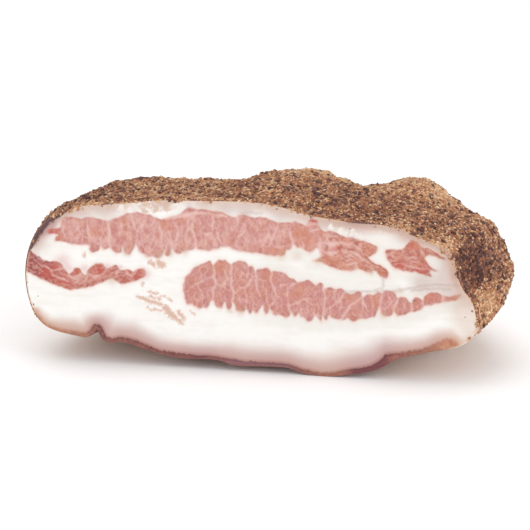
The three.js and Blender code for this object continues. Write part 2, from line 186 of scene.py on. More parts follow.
# Sheets of white tissue that part the bundles of lean on the cut: half the width and the line of each
SEAMS = [
    (0.57, [-63.7, 58.3], [-63.5, 54.9], [-62.7, 52.3], [-61.8, 50.3]),
    (0.62, [-55.3, 62.3], [-55.3, 58.3], [-54.6, 55.1], [-55, 52.2], [-54.7, 49.2]),
    (0.62, [-45.6, 63], [-45.2, 60.2], [-44.6, 57.6], [-43.6, 55.8], [-43.5, 53.8]),
    (0.42, [-43.5, 55.4], [-42.3, 57.1], [-40.8, 58.7], [-39.6, 60.2]),
    (0.47, [-73.9, 57.1], [-73.8, 54.6], [-72.8, 52.4]),
    (0.52, [-69.2, 54], [-68.1, 54.9], [-66.7, 56.2], [-65.8, 57.2]),
    (0.37, [-56.4, 53.2], [-56.4, 50.7]),
    (0.42, [-46.1, 53.2], [-46.1, 51.4]),
    (0.47, [-51.2, 56.3], [-49.7, 57.7], [-47.7, 58.4]),
    (0.32, [-50.4, 55.9], [-50.7, 53]),
    (0.42, [-43.8, 52.9], [-43.9, 49.7]),
    (0.37, [-49.2, 50.7], [-49.4, 47.8]),
    (0.37, [-58.2, 52.3], [-58.4, 48.6]),
    (0.67, [-34.6, 59.6], [-34.3, 57.2], [-33.6, 55], [-33.9, 52.8]),
    (0.47, [-39.1, 57.2], [-37.2, 58.7], [-36.4, 60.1]),
    (0.52, [-28.6, 59.7], [-27.1, 57.2], [-26.7, 55.3], [-27.7, 53.3], [-28, 51.7], [-28.3, 48.8]),
    (0.62, [-21.3, 63], [-21.4, 58], [-20.8, 56], [-20.5, 54], [-19.8, 52.4], [-20, 49.6]),
    (0.52, [-13.4, 63.2], [-12.9, 61], [-13.3, 58.4], [-13.7, 56.1]),
    (0.47, [-13.7, 56.1], [-15.7, 55.5], [-17.1, 56]),
    (0.37, [-15.7, 55.5], [-16, 53.5], [-16.1, 51.6]),
    (0.57, [-11.4, 56.5], [-11, 54.3], [-9.9, 52.3]),
    (0.37, [-5.7, 59.1], [-5.6, 56.7]),
    (0.62, [-3.8, 64], [-3.3, 62], [-2.9, 59.6]),
    (0.42, [-23.2, 60.7], [-22.8, 57.5], [-24.2, 55.3], [-24.5, 52.6]),
    (0.42, [-30.4, 56.4], [-30.3, 52.4], [-31.8, 50.3], [-32.5, 47.4]),
    (0.42, [-29.5, 51.6], [-29.5, 49.2]),
    (0.32, [-36.3, 53.7], [-36, 51.7], [-37, 49.6]),
    (0.92, [-31.5, 61.6], [-27.5, 62.1], [-23.6, 62.9], [-18.8, 64.1], [-14, 63.9]),
    (0.57, [-13.2, 63], [-10.5, 63.4], [-7.7, 63.2]),
    (0.52, [-2.9, 54.8], [-1.5, 56.4], [-0.1, 58]),
    (0.52, [8.3, 58.9], [8.9, 56.2], [7.6, 54.1], [6.4, 52.1]),
    (0.52, [8.9, 56.2], [10.1, 55], [9.9, 53.2], [8.3, 51.8]),
    (0.42, [12.6, 61.5], [12.1, 59.1], [11.1, 57.1], [10.7, 54.7]),
    (0.37, [14.4, 59.2], [15.4, 56.1]),
    (0.67, [17, 59.3], [17.6, 56], [18.2, 54.2], [18.6, 52.4]),
    (0.32, [5.8, 62], [5.9, 59.2]),
    (0.52, [10.3, 52.1], [13, 51.6], [16, 52.3]),
    (0.32, [22.2, 54.4], [22.4, 52]),
    (0.67, [29, 56.7], [28.8, 52.9], [29, 49.2]),
    (0.57, [21.2, 62.2], [22.7, 61.9], [24.3, 61.1]),
    (1.12, [30.9, 54.2], [33.2, 53.9], [35.9, 54.5]),
    (0.6, [35.9, 54.5], [37.9, 54.6], [40.2, 53.7]),
    (1.1, [31.2, 50.5], [33.3, 50], [35.6, 50.9]),
    (0.4, [32.7, 53.3], [32.5, 50.9]),
    (0.6, [38.7, 50.9], [40.6, 51.4], [43.3, 50.4], [44.9, 48.8], [47.2, 47.5]),
    (0.45, [38, 46.9], [39.9, 45.9], [41.5, 46.5], [43, 47], [43.5, 44.5]),
    (0.35, [40.6, 54.5], [42.9, 53.2], [44.8, 52.1]),
    (0.3, [38.7, 49], [40.2, 49.7], [41.8, 49.2]),
    (0.3, [32, 57.6], [31.7, 55.6], [30.1, 54.4]),
    (0.5, [-13.1, 43.9], [-12.8, 40.6], [-12.9, 38.4], [-12.1, 36], [-13.2, 32.8], [-13.4, 28.7]),
    (0.4, [-12.1, 36], [-9.9, 34.8], [-8.3, 36.2]),
    (0.38, [-12.9, 38.4], [-15.9, 37.8], [-18.2, 36.1], [-20, 35], [-22.6, 33.6]),
    (0.3, [-19.7, 35.2], [-19, 33.6], [-17.6, 31.2], [-17.2, 29.3]),
    (0.3, [-14.2, 33.8], [-15.6, 32.1], [-15.3, 29.4]),
    (0.5, [-5.8, 44.2], [-5.9, 41.4], [-6, 38.9], [-5.9, 35.3], [-5, 32.1], [-5.4, 29.4], [-5.4, 27.1]),
    (0.5, [-6, 38.2], [-7.9, 37.8], [-8.6, 36.4], [-8.5, 34.3], [-7.9, 32.9]),
    (0.3, [-8.1, 38.4], [-8.2, 40.9], [-9.3, 42.2]),
    (0.35, [-5, 32.1], [-3.4, 33.2], [-2, 34.5], [-0.6, 34.8]),
    (0.55, [-0.7, 34.7], [0.8, 36], [1.7, 37.5], [2.4, 39.4]),
    (0.3, [-0.6, 34.3], [0.1, 31.9], [-0.1, 29], [0, 26.2]),
    (0.55, [3.7, 41.9], [3.9, 37.8], [4.5, 33.8], [5.6, 31.4]),
    (0.3, [0.4, 41.3], [0.2, 38.7]),
    (0.4, [-1.8, 40.8], [-1.9, 38.3]),
    (0.25, [-4.3, 43.3], [-3.7, 41.5]),
    (0.45, [10, 41.6], [9.7, 38.3], [10.6, 35.3], [11.9, 33], [10.7, 30.6], [10.6, 28.2]),
    (0.3, [8.1, 34.8], [8, 31.9], [8.4, 29.1], [9.1, 27.5]),
    (0.35, [11.9, 35.2], [14.1, 36.5], [16.2, 37]),
    (0.25, [2.4, 30], [2.8, 27.6], [2.7, 25.5]),
    (0.25, [-8.4, 31.5], [-8.6, 27.7]),
    (0.3, [6.6, 29], [6.6, 26.5]),
    (0.22, [-20.4, 32], [-21.2, 29.5]),
    (0.22, [-10.8, 32.6], [-10, 30.1], [-10.4, 28.1]),
    (0.22, [-2.8, 30.5], [-2, 27.7]),
    (0.22, [6.4, 36.7], [7.2, 34.3]),
    (0.22, [5, 38.7], [6.4, 38], [8, 37.8]),
    (0.38, [16.4, 35.2], [17.8, 36.4], [20, 38.1]),
    (0.35, [16.4, 35.2], [16.3, 32.8], [16.7, 30.4]),
    (0.45, [16.7, 30.4], [16.8, 27.9], [17.7, 25.7]),
    (0.38, [17.1, 28.3], [18.6, 28.6], [20.4, 29.9], [22.8, 31.4], [25.3, 31.8]),
    (0.32, [20.4, 29.9], [21.5, 28.6], [21.8, 26.6], [21.4, 24.1]),
    (0.3, [23, 31.1], [24.5, 30], [26.9, 28.9]),
    (0.85, [30.6, 37.2], [30.8, 34.4]),
    (0.42, [30.7, 34.8], [31.2, 31.8], [30.8, 28.1], [30.6, 24.6]),
    (0.22, [27.9, 30.2], [28.7, 27.8], [28.3, 24.9]),
    (0.42, [32.9, 28.2], [35.3, 30], [37, 31.5], [38, 33.7], [39, 35.2]),
    (0.3, [35.1, 35.8], [34.7, 33], [35.2, 31.2]),
    (0.55, [37.7, 24.2], [39.4, 27.1], [40.8, 29.4], [42.7, 30.8], [44.8, 33]),
    (0.55, [45.7, 35], [45.5, 32.9], [46, 30.7], [47.5, 28.8], [48.2, 27.2]),
    (0.25, [26.8, 26.8], [26.8, 24.4]),
    (0.25, [33.2, 27.2], [33.1, 24.7]),
    (0.25, [24, 28.7], [24.2, 25.9]),
    (0.25, [36.7, 27.8], [37.8, 29.1]),
    (0.3, [49.4, 31.7], [49.9, 29.1]),
    (0.3, [48.8, 34.1], [49.4, 32.5]),
    (0.45, [51.9, 29], [52.1, 27]),
    (0.35, [53.4, 36.4], [53, 33.1], [52.6, 30.3], [51.9, 28.6]),
    (0.3, [57.9, 33], [55.7, 30], [54.1, 28.8]),
    (0.55, [59.3, 34.7], [59.2, 32.7], [58.3, 30.6], [57.8, 27.8]),
    (0.4, [64.2, 33.3], [64.8, 31], [64.4, 28.3]),
    (0.35, [68.7, 34], [68.9, 32], [69.1, 30]),
    (0.65, [76.5, 37.6], [76.7, 32.4]),
    (0.22, [61, 32], [62.2, 30]),
    (0.22, [55.6, 34.5], [56.4, 32.5]),
    (0.22, [-86.1, 44.6], [-84.7, 43], [-82.1, 41.6]),
    (0.4, [-83, 39.9], [-80.8, 39.1], [-79.1, 37.6]),
    (0.45, [-79.1, 37.6], [-77.1, 38.1], [-73.7, 39], [-71.5, 38.1]),
    (0.35, [-79.1, 37.3], [-78.9, 36], [-76.5, 34.9]),
    (0.6, [-76.5, 34.8], [-74.6, 34.5], [-72.7, 33.8]),
    (0.5, [-71.7, 38], [-71.8, 35.8], [-70.3, 35.1], [-68.1, 36], [-66.4, 37.5], [-65.7, 38.5]),
    (0.35, [-71.3, 34.6], [-68.3, 34.8], [-65.8, 36.3]),
    (0.4, [-65.5, 38], [-64.5, 36.2], [-65, 34.3], [-68.2, 32.6]),
    (0.35, [-64.4, 37.4], [-62.3, 36.6], [-61.1, 35.1]),
    (0.7, [-62, 35.8], [-60.1, 36.4], [-58.6, 35.6]),
    (0.35, [-59.2, 36.6], [-57.3, 38], [-56, 39.9]),
    (0.45, [-52.6, 36.6], [-52.2, 38.2], [-50, 39.8]),
    (0.4, [-48.5, 39.6], [-47.9, 38.1], [-46.2, 37.1], [-44.9, 38.4], [-44.1, 39.6]),
    (0.25, [-49.8, 36.8], [-47.5, 38.1]),
    (0.22, [-86.2, 41.8], [-84.4, 40.8], [-83, 39]),
    (0.22, [-87.1, 39.5], [-84.9, 38.7], [-82.7, 37.1]),
    (0.25, [-70.2, 32.5], [-67.9, 34.1]),
    (0.2, [-74.7, 32.3], [-72.1, 32.1]),
    (0.35, [60.8, 47.3], [63, 46.3], [66, 46], [69.6, 45.7]),
    (0.4, [62.9, 49.7], [64.7, 50.3], [66.2, 50.2]),
    (0.35, [60.5, 53.2], [60.7, 51.7], [60.2, 50.9]),
    (0.3, [67, 53.4], [68.2, 52.2], [69.1, 51]),
    (0.25, [63.2, 48.8], [64.4, 48.3], [67.1, 48.5]),
    (0.22, [56.2, 51.3], [57.2, 49.5]),
    (0.6, [24.8, 58.6], [28.3, 59.5]),
    (0.5, [24.2, 61.2], [26.5, 61.6], [28.6, 61]),
]

# How a seam narrows towards an end in the lean, and over what distance seams that meet are webbed together
SEAM = {"end": 0.35, "near_fat": 1.3, "web": 0.3}
NOTHING = 1e-30
FAR = 50.0  # what counts as the distance to the cut's lines anywhere behind it

# Frayed ends of meat in the fat, each with half its width, and lines of sinew
FLECKS = [
    (0.75, [-43.6, 28.7], [-41.5, 28.4], [-39.5, 27.7], [-37.9, 27], [-35.9, 26.7], [-34.2, 26.3]),
    (0.5, [-39, 31.1], [-37.4, 30.9], [-35.8, 30.8]),
    (0.45, [-38.7, 29.4], [-36.2, 28.3], [-34.6, 28.4]),
    (0.3, [-34.2, 29.7], [-31.4, 29], [-29.8, 27.8]),
    (1.3, [-32.4, 24.9], [-31.5, 23.6], [-30.4, 22.4], [-29.1, 21.5]),
    (0.7, [-29.1, 21.2], [-27.5, 20.1], [-25.8, 18.9]),
    (0.3, [-39.6, 24.8], [-38.4, 23.6], [-36.7, 24.1], [-33.5, 23.5]),
    (0.8, [-27, 23.6], [-25.8, 22], [-25.2, 20.8]),
    (0.3, [-22.1, 24.1], [-20.9, 22.9]),
    (0.45, [-41.4, 34.7], [-41.4, 33.6]),
    (0.9, [-38.2, 43.3], [-36.8, 42.4]),
    (1.3, [-34.6, 43.1], [-33.3, 42.4]),
    (0.3, [-36.8, 41.4], [-35.2, 41.2]),
    (0.45, [-65.1, 45.6], [-65, 44.2]),
]
SINEWS = [
    [[59.6, 37.3], [63.5, 37.8], [67.4, 39], [71.6, 39.8], [76.1, 40.1], [82.1, 39.9]],
    [[64.6, 37.2], [69.4, 37.9], [74.5, 38.5], [79.2, 38.4]],
    [[37, 35.3], [50.1, 36], [60.7, 36.8]],
    [[53.4, 42.6], [53.5, 37.6], [50.1, 36.4]],
    [[-1.5, 64.9], [2.5, 65.2], [6.4, 65.1]],
    [[40.4, 60.4], [40, 57.8]],
]

# Where the lean is stringy and not in bundles, its fibres run along these lines and are drawn out
FIBRE_RUNS = {
    "left": [[-95, 42], [-90, 41], [-80, 38], [-70, 34.5], [-60, 37], [-50, 37.5], [-40, 37.5], [-30, 37.5]],
    "right": [[20, 58], [30, 55.5], [38, 51.5], [48, 49.5], [60, 50.5], [72, 46.5], [85, 42]],
}
FIBRE_STRETCH = 0.45

# Between which x and which z each stringy part of the lean sets in
FIBROUS = {"right x": (26, 34), "right z": (38, 42), "left x": (-36, -40), "left z": (46, 44)}

# Greyer fat near the lean: between which depths and which x it sets in, and how strong it is at the left
HAZE = {"depth": (-6.5, -2.5), "x": (-5, 15), "left": 0.15}

# Waves that the cut's patterns wander in, along x and along z: reach, turns by x and z, and start
WANDER = (((0.12, 0.5, 1.2, 0), (0.1, -0.6, 2.1, 1)), ((0.1, 1.1, 0.7, 2), (0.08, 2.2, -0.6, 0)))

# Stains of the cut face: the middle and the reach of each
STAINS = {
    "dark_end": [(-91, 40, 6), (-86, 38.5, 4), (-80, 38, 3)],
    "ochre": [
        (31, 47.7, 1.4), (34.5, 47.6, 1.8), (47.9, 52.5, 2.4), (38.6, 55.6, 1.6), (53, 43.6, 2),
        (43, 48.2, 1.2), (-9.9, 43.8, 2), (-60.8, 55, 1.6), (-49.3, 60, 1.4), (-32.4, 58.7, 2),
        (10.3, 49.7, 1.6), (13.8, 49.6, 1.6), (21.2, 56.8, 2.4), (24.3, 55.3, 2), (38.8, 44.6, 1.6),
        (44.6, 45.1, 1.6), (72, 34.6, 2), (80, 35, 2.4), (28.9, 59.1, 1.2), (-75.7, 51.5, 1.2),
        (-2, 33, 1.2), (8, 40.1, 1.6), (50.6, 31.8, 1.6), (21.4, 34.3, 2), (40.9, 32.9, 1.6),
        (65.7, 54.5, 1.6), (69.3, 49.9, 1.6), (59, 50.6, 1.2), (74, 51.5, 1.5), (48.9, 43.6, 0.6),
    ],
    "red": [
        (26.6, 62.7, 1.4), (34.4, 52, 1), (36.9, 50.9, 0.8), (-67.9, 38.2, 1.8), (-59.6, 39.5, 2.4),
        (-42.5, 37.9, 2), (-47.4, 39.3, 1.2), (-81, 36.5, 2.4), (-74, 33, 2.4), (-76.5, 39.6, 1.6),
        (64.2, 55.2, 1.2), (67.5, 45.5, 1.6), (59.5, 45.9, 1.6), (-77.7, 54.2, 1.7),
    ],
    "beige": [(-53.5, 65, 2), (-40.4, 65.4, 1.8), (-37.4, 65.8, 2), (-34.2, 66, 2), (-31.8, 66.2, 1.6)],
    "greyed": [
        (-35, 46.4, 1.2), (-30, 47.2, 1), (-24, 48.2, 1), (-48, 46.2, 1), (20, 48.6, 1.6), (54, 26.4, 1.2),
        (-6, 25, 1), (-2, 24.4, 1), (83, 36, 1), (60, 36.4, 1), (-54, 34.6, 1.2), (14, 48.2, 1.2),
        (28.6, 47, 1.2), (49, 43.6, 1), (86.5, 25, 4.5), (84, 31, 3), (79.5, 48.5, 1.6),
    ],
    "white": [
        (-49.5, 64.4, 2), (-46, 65, 1.8), (-28, 66.6, 1.5), (-25, 67.2, 1.6), (-33.7, 63.9, 0.8),
        (-25.6, 64.4, 0.9), (33, 60.6, 1.4), (37, 59.4, 1.6), (41, 58.8, 1.6), (45, 57.8, 1.8),
        (49, 56.8, 1.8), (53, 56, 1.6),
    ],
    "faded": [
        (-68, 55, 8), (-52, 55, 9), (-38, 55, 8), (-22, 57, 9), (-6, 57, 8), (8, 56, 7), (20, 58, 6),
        (30, 52, 5), (42, 53, 5),
    ],
    "pink": [
        (-71.8, 39.4, 1.2), (-65.3, 39.6, 1.2), (-55.8, 41, 1), (-50.6, 40.6, 0.9), (-40, 38.5, 1.4),
        (-74, 42.4, 2),
    ],
    "mauve": [(-4, 3, 5), (5, 3, 6), (14, 3, 5)],
    "bruised": [(-80.3, 55.6, 2), (-78.4, 57.4, 1.8), (-82.4, 53.2, 1.4), (-22, 64.8, 1.2)],
    "rosy": [
        (-78, 38, 6), (-68, 35, 6), (-60, 36, 6), (-51, 37, 5), (-43, 37.5, 5), (62, 50, 3.5), (68, 47, 3.5),
    ],
    "blush": [
        (86, 41, 5.5), (79, 41.5, 5.5), (68, 40, 3), (79.5, 48.5, 2.6), (61, 59.5, 3),
        (75, 54.5, 2.8), (44, 62.5, 3.4), (31, 62.6, 2.4), (-84, 50, 3.4), (0, 67.4, 3), (14, 66, 3),
        (26, 64.6, 2.4), (-8, 67.4, 3), (-56, 64.6, 4), (-66, 62.4, 3),
    ],
}

# What else is measured at each point of the face for its material
FACE_VALUES = (
    "lean", "haze", "fibrous", "seam", "fleck", "sinew", "to_rind", "to_crust", "rind_width", "rind_tan",
    "blush_reach", "under_crust", "dried",
)

# The rind where the cut shows it: x, thickness, how far it is tan (1) and not purple brown (0), and how far
# above it the fat is pink. At -62 and -59, in the notch, the band is thicker and purple brown: painted shade
# in the notch's fold
RIND = [
    (-86, 0.3, 0.9, 3.6), (-80, 0.7, 0.9, 5.6), (-75, 1.1, 0.75, 7.6), (-70, 1.4, 0.6, 8.6),
    (-65, 1.8, 0.5, 8), (-62, 2.2, 0.15, 7.2), (-59, 2.4, 0.05, 7.5), (-55, 1.8, 0.25, 10.8),
    (-50, 2.2, 0.2, 9.5), (-45, 2.4, 0.22, 10.5), (-40, 2, 0.14, 9), (-35, 1.4, 0.2, 8),
    (-30, 1.9, 0.22, 7.5), (-25, 2, 0.12, 8), (-20, 1.7, 0, 7.7), (-15, 1.7, 0.14, 8), (-10, 1.7, 0.25, 8.5),
    (-5, 2.6, 0.25, 9.5), (0, 2, 0.25, 10), (10, 1.8, 0.2, 9.5), (20, 1.7, 0.22, 9.5), (25, 1.6, 0.35, 10.4),
    (30, 1.2, 0.5, 11.5), (35, 1.5, 0.45, 12), (40, 2.3, 0.25, 12), (45, 2.3, -0.1, 12.5),
    (50, 2.4, -0.15, 12.3), (52.5, 3, -0.1, 11), (55, 3.6, 0, 10), (58, 3, 0.25, 9), (61, 2.3, 0.32, 8.4),
    (65, 1.8, 0.38, 8), (70, 1.7, 0.44, 8), (75, 3.1, 0.58, 8), (78, 3.4, 0.85, 7), (80, 3.2, 0.95, 6.5),
    (82, 2.2, 1, 6), (84, 0.9, 1, 5.5), (86, 0.1, 1, 5.5),
]

RIND_END = {"x": 84, "z": 20}  # the cut's edge is rind left of and below this
RIND_SHOWS = 14  # how far behind the cut the rind turns from mauve to amber

# Strength of the pink in the fat under the crust, by x
UNDER_CRUST = [
    (-88, 1.6), (-80, 1.5), (-72, 1.2), (-64, 0.8), (-56, 0.95), (-48, 0.8), (-42, 0.3), (-38, 0.3),
    (-34, 1), (-29, 1), (-24, 0.5), (-20, 0.6), (-16, 1.1), (-12, 0.8), (-8, 0.5), (0, 0.6), (6, 1), (10, 1),
    (16, 0.95), (24, 0.95), (32, 1.1), (38, 1.3), (42, 1.5), (47, 1.3), (54, 1.15), (64, 1.3), (72, 1.2),
    (78, 1.5), (84, 1),
]

# Fat that stays white right up to the crust
WHITE_TO_EDGE = [(-91, 44, 4), (-92, 36, 6), (-91, 26, 7), (-86, 18, 5), (87, 26, 5.5)]

# The dried skin along the top of the cut: its usual width, and where it is wider
DRIED = {
    "width": 0.3,
    "wide": [(-85, 49.5, 3, 2), (-82, 56, 4, 2), (-77, 60.5, 3, 1.6), (-56, 66.5, 3, 0.7), (44, 64, 5, 0.8)],
}

# Low relief: where it is, how high, and how far apart its clouds are, with no clouds where it is even
RELIEF = [
    ("crust crags", 1, 6), ("crust crags", 0.5, 3), ("rind creases", 0.6, 4), ("knife waves", 0.6, 22),
    ("knife waves", 0.12, 4), ("sunken lean", -LEAN_DEPTH, None), ("meat bundles", 0.25, 2.2),
]

# Ground pepper: name, dark and light colour, number of grains, smallest and largest size, how much more of it
# lies where the crust is dark, and how much it keeps together
GROUND_PEPPER = [
    ("black_pepper_husk", "#4a2a26", "#784a3c", 5400, 1.2, 2.4, 3, 1.6),
    ("brown_pepper_husk", "#8b573b", "#af7b53", 8400, 1, 1.9, 1.2, 0.8),
    ("tan_pepper_core", "#b68966", "#d1ac87", 9000, 0.9, 1.8, -1, 0.8),
    ("cream_pepper_core", "#c8a680", "#dfc7a2", 4800, 0.7, 1.5, -1.2, 1.2),
    ("rust_spice_bit", "#a06648", "#bd8961", 8400, 0.9, 1.7, 0.1, 1),
]
# How its grains lie: most are small, each sunk by a share of its size, tilted, and darker in dark crust
GROUND = {"mostly_small": 1.8, "sunk": (-0.45, -0.03), "tilt": 0.6, "darker": 0.55}
# Coarse bits: their share of the solid's size, how far they stand out, and how far they sink in bare skin
COARSE = {"size": 0.95, "shows": 0.9, "hides": 2}
# Shapes of the broken bits: how many, and how far they are knocked out of round, drawn out and narrowed
SHARD = {"kinds": 6, "knock": 0.14, "longer": 0.1, "narrower": 0.06}
SCATTER_SEED = 7
CLUMP = 3.4  # how far apart clumps of one kind are
PEPPER_FROM = (13, 19)  # between which heights the pepper sets in
# The crust's ragged rim on the cut: how wide it is, how much that varies, what a spill adds, and how thick
RIM = {"reach": 0.8, "ragged": 2.4, "spill": 2, "clump": 1.6, "thick": (1.3, 1.8)}
# Where pepper spills onto the cut: place, reach and strength
SPILL = [
    (-70, 64, 6, 0.8), (80.5, 50, 3, 0.8), (-86, 49.7, 1.2, 0.55), (-58.8, 66.4, 3, 0.25),
    (-46, 67.4, 6, 0.2), (16, 68, 8, 0.1), (60, 62, 6, 0.15), (71, 57.4, 5, 0.8), (78, 55, 4, 1.2),
]
# Specks that the knife dragged onto the cut
FACE_SPECKS = [
    [48.6, 62.9], [40.4, 60.4], [6.6, 66.3], [87.8, 30.2], [89, 32.9], [85.2, 27.6], [-84.9, 26.9],
    [24.8, 64.9], [-72.4, 62.3],
]
# Parts of the crust that are darker than the rest, or paler where the last number is negative: place, reach
# and how dark
CRUST_TONES = [
    (86, 7, 42, 7, 1.1), (84, 4, 49, 4, 0.4), (90, 14, 49, 6, 0.4), (83, 13, 56, 5, 0.2),
    (74, 20, 62, 8, 0.25), (60, 14, 65, 8, 0.25), (44, 12, 66, 9, 0.3), (28, 10, 69, 9, 0.3),
    (10, 12, 71, 9, 0.1), (-10, 20, 71, 12, 0.15), (-56, 44, 69, 6, 1), (-64, 18, 66, 8, 0.5),
    (-76, 12, 62, 5, 0.5), (36, 40, 69, 7, 0.35), (-66, 1, 65, 4, -0.2), (62, 4, 62, 3, -0.4),
    (77, 3, 55, 4, -0.4), (92, 8, 34, 5, -0.7), (98, 20, 41, 5, 0.35), (93, 8, 28, 5, -0.1),
    (97, 32, 24, 9, -0.1), (100, 22, 14, 8, -0.15), (70, 44, 66, 8, -0.6), (22, 60, 72, 9, -1),
    (0, 56, 73, 9, -1), (-36, 54, 70, 6, -0.7), (48, 42, 66, 6, -0.4),
]
# Slow drift between dark and pale over the whole crust, and how much paler the pepper on the cut is
DRIFT = {"share": 0.2, "first": [0.21, 0.13, 0.17], "second": [-0.11, 0.27, 0.19]}
PALER_ON_FACE = 0.4

# Dark skin without pepper at the left end of the cut, and the fat that shows at its lower right corner
BARE_SKIN = [(-90, -2, 44, 7), (-90, -2, 35, 7), (-85, 1, 53, 5.5), (-81.5, 2, 57.8, 2.4)]
FAT_CORNER = (88, 0, 15, 6.4)

# The camera stands where the photograph was taken from
VIEW = {"azimuth": 10, "elevation": 16, "distance": 570.9, "lens": 100, "sensor": 36, "at": [7.57, 0, 44.49]}
NEAR = 0.01  # the camera sees nothing nearer than this, in metres

# Size of the floor in metres, strength of the sky, and what the lamps are turned to
STAGE = {"floor": 12, "sky": 0.84, "aim": [0, 30, 35]}
LAMPS = [
    ("overhead", "SUN", (-0.2, 0.2, 1), 0.7, {"angle": math.radians(50)}),
    ("window", "AREA", (-0.7, -1, 0.35), 2.4, {"shape": "DISK", "size": 0.9}),
    ("fill", "AREA", (1, -0.3, 0.35), 4.4, {"shape": "DISK", "size": 0.9}),
]

# The main setting of each kind of node, and the inputs and output of a mix that are for colours
MAIN_SETTING = {
    "Attribute": "attribute_name", "MapRange": "interpolation_type", "Math": "operation", "Mix": "data_type",
    "TexVoronoi": "feature", "VectorMath": "operation",
}
MIX = {"sockets": (0, 6, 7), "out": 2}


def smooth(low, high, value):
    share = np.clip((value - low) / (high - low), 0, 1)
    return share * share * (3 - 2 * share)


def bell(distance, reach):
    return np.exp(-((distance / reach) ** 2) / 2)


def blend(first, second, share):
    return first + (second - first) * share


def distance_from(points, place):
    return np.linalg.norm(points - np.array(place, float), axis=-1)


# Sum of bells about places, each with its reach and, where it has one, its strength
def spots(points, rows):
    size = points.shape[-1]
    total = 0
    for row in rows:
        strength = row[size + 1] if len(row) > size + 1 else 1
        total = total + strength * bell(distance_from(points, row[:size]), row[size])
    return total


# How much of its width a section keeps at depth y
def shrink(y, roundness):
    return np.maximum(0, 1 - (y / DEPTH) ** roundness) ** (1 / roundness)


# Height of the slow waves of the skin
def waves(points):
    total = np.zeros(points.shape[:-1])
    for i, (length, height) in enumerate(WAVES):
        heading = i * WAVE_TURN
        along = points @ np.array([math.cos(heading), math.sin(heading), math.sin(heading + i)])
        total += height * np.sin(2 * math.pi * along / length + i)
    return total


# Points of the outside at depth y, behind points of the cut's edge
def skin(edge, y):
    edge_x, edge_z, y = np.broadcast_arrays(edge[..., 0], edge[..., 1], np.asarray(y, float))
    swelling = bell(y - FLARE["at"], FLARE["reach"]) * smooth(0, FLARE["start"], y)
    flare = np.where(edge_x > CORE["x"], 1 + FLARE["share"] * swelling, 1)
    middle = CORE["x"] + TIP["right"] * (y / DEPTH) ** TIP["lag"]
    x = middle + (edge_x - CORE["x"]) * shrink(y, ROUNDNESS["side"]) * flare

    # The rind evens out from the curve of the cut to one that lies flat
    under = 1 - smooth(REST["low"], REST["high"], edge_z)
    lying = REST["lift"] * np.abs((edge_x - REST["middle"]) / REST["half_width"]) ** REST["curl"]
    behind = smooth(0, REST["blend"], y)
    level = blend(edge_z, lying, under * behind)
    roundness = blend(ROUNDNESS["top"], ROUNDNESS["rind"], under)
    z = CORE["z"] + (level - CORE["z"]) * shrink(y, roundness) - REST["sink"] * under * behind

    points = np.stack([x, y, z], -1)
    for place, reach, push in LUMPS:
        share = bell(distance_from(points, place), reach) * smooth(0, LUMP_START, y)
        points = points + share[..., None] * np.array(push, float)
    outward = points - np.stack([middle, y, np.full_like(y, CORE["z"])], -1)
    outward /= np.maximum(np.linalg.norm(outward, axis=-1, keepdims=True), MM)
    waviness = smooth(0, WAVE_START, y) * blend(1, WAVE_UNDER, under)
    points = points + outward * (waves(points) * waviness)[..., None]
    points[..., 2] = np.maximum(0, points[..., 2])
    return points


# A smooth closed line through corners, with so many steps to a corner
def rounded(corners, steps):
    p0, p1, p2, p3 = (np.roll(np.array(corners, float), turn, 0) for turn in (1, 0, -1, -2))
    gap0, gap1, gap2 = (
        np.sqrt(np.linalg.norm(b - a, axis=1, keepdims=True)) for a, b in ((p0, p1), (p1, p2), (p2, p3))
    )
    leave = ((p1 - p0) / gap0 - (p2 - p0) / (gap0 + gap1) + (p2 - p1) / gap1) * gap1
    arrive = ((p2 - p1) / gap1 - (p3 - p1) / (gap1 + gap2) + (p3 - p2) / gap2) * gap1
    t = (np.arange(steps) / steps)[None, :, None]
    p1, p2, leave, arrive = (value[:, None, :] for value in (p1, p2, leave, arrive))
    bend = -3 * p1 + 3 * p2 - 2 * leave - arrive
    turn = 2 * p1 - 2 * p2 + leave + arrive
    return (p1 + leave * t + bend * t**2 + turn * t**3).reshape(-1, 2)


# So many evenly spaced points of an open line
def evenly(line, count):
    run = np.concatenate([[0], np.cumsum(np.linalg.norm(np.diff(line, axis=0), axis=1))])
    at = np.linspace(0, run[-1], count)
    return np.stack([np.interp(at, run, line[:, axis]) for axis in (0, 1)], -1)


# For each stretch of a line, how far along it points have their nearest place, and how far off it is
def along_line(points, line):
    for start, end in zip(line[:-1], line[1:]):
        along = end - start
        share = np.clip((points - start) @ along / (along @ along), 0, 1)
        yield share, distance_from(points, start + share[:, None] * along)


# How far points of the cut face are from a line
def distance_to_line(points, line):
    return reduce(np.minimum, (away for share, away in along_line(points, np.array(line, float))))


# How deep points of the cut face lie inside an outline; outside it the depth is negative
def depth_inside(points, outline):
    x, z = points.T
    closed = np.concatenate([outline, outline[:1]])
    inside = np.zeros(len(points), bool)
    for (x1, z1), (x2, z2) in zip(outline, closed[1:]):
        if z1 != z2:
            inside ^= ((z1 > z) != (z2 > z)) & (x < (x2 - x1) * (z - z1) / (z2 - z1) + x1)
    distance = distance_to_line(points, closed)
    return np.where(inside, distance, -distance)


# Where the solid's cut lies: the frame's place of the middle of the cut, at the height of the base
def cut_place():
    low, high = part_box(JOWL)
    points = np.array([vertex.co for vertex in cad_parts[JOWL].data.vertices])
    on_cut = points[points[:, 1] < low.y + WELD]
    return np.array([(on_cut[:, 0].min() + on_cut[:, 0].max()) / 2, low.y, low.z])


PLACE = cut_place()


def in_frame(points):
    return np.asarray(points, float) * MM + PLACE


def on_jowl(points):
    return (np.asarray(points, float) - PLACE) / MM


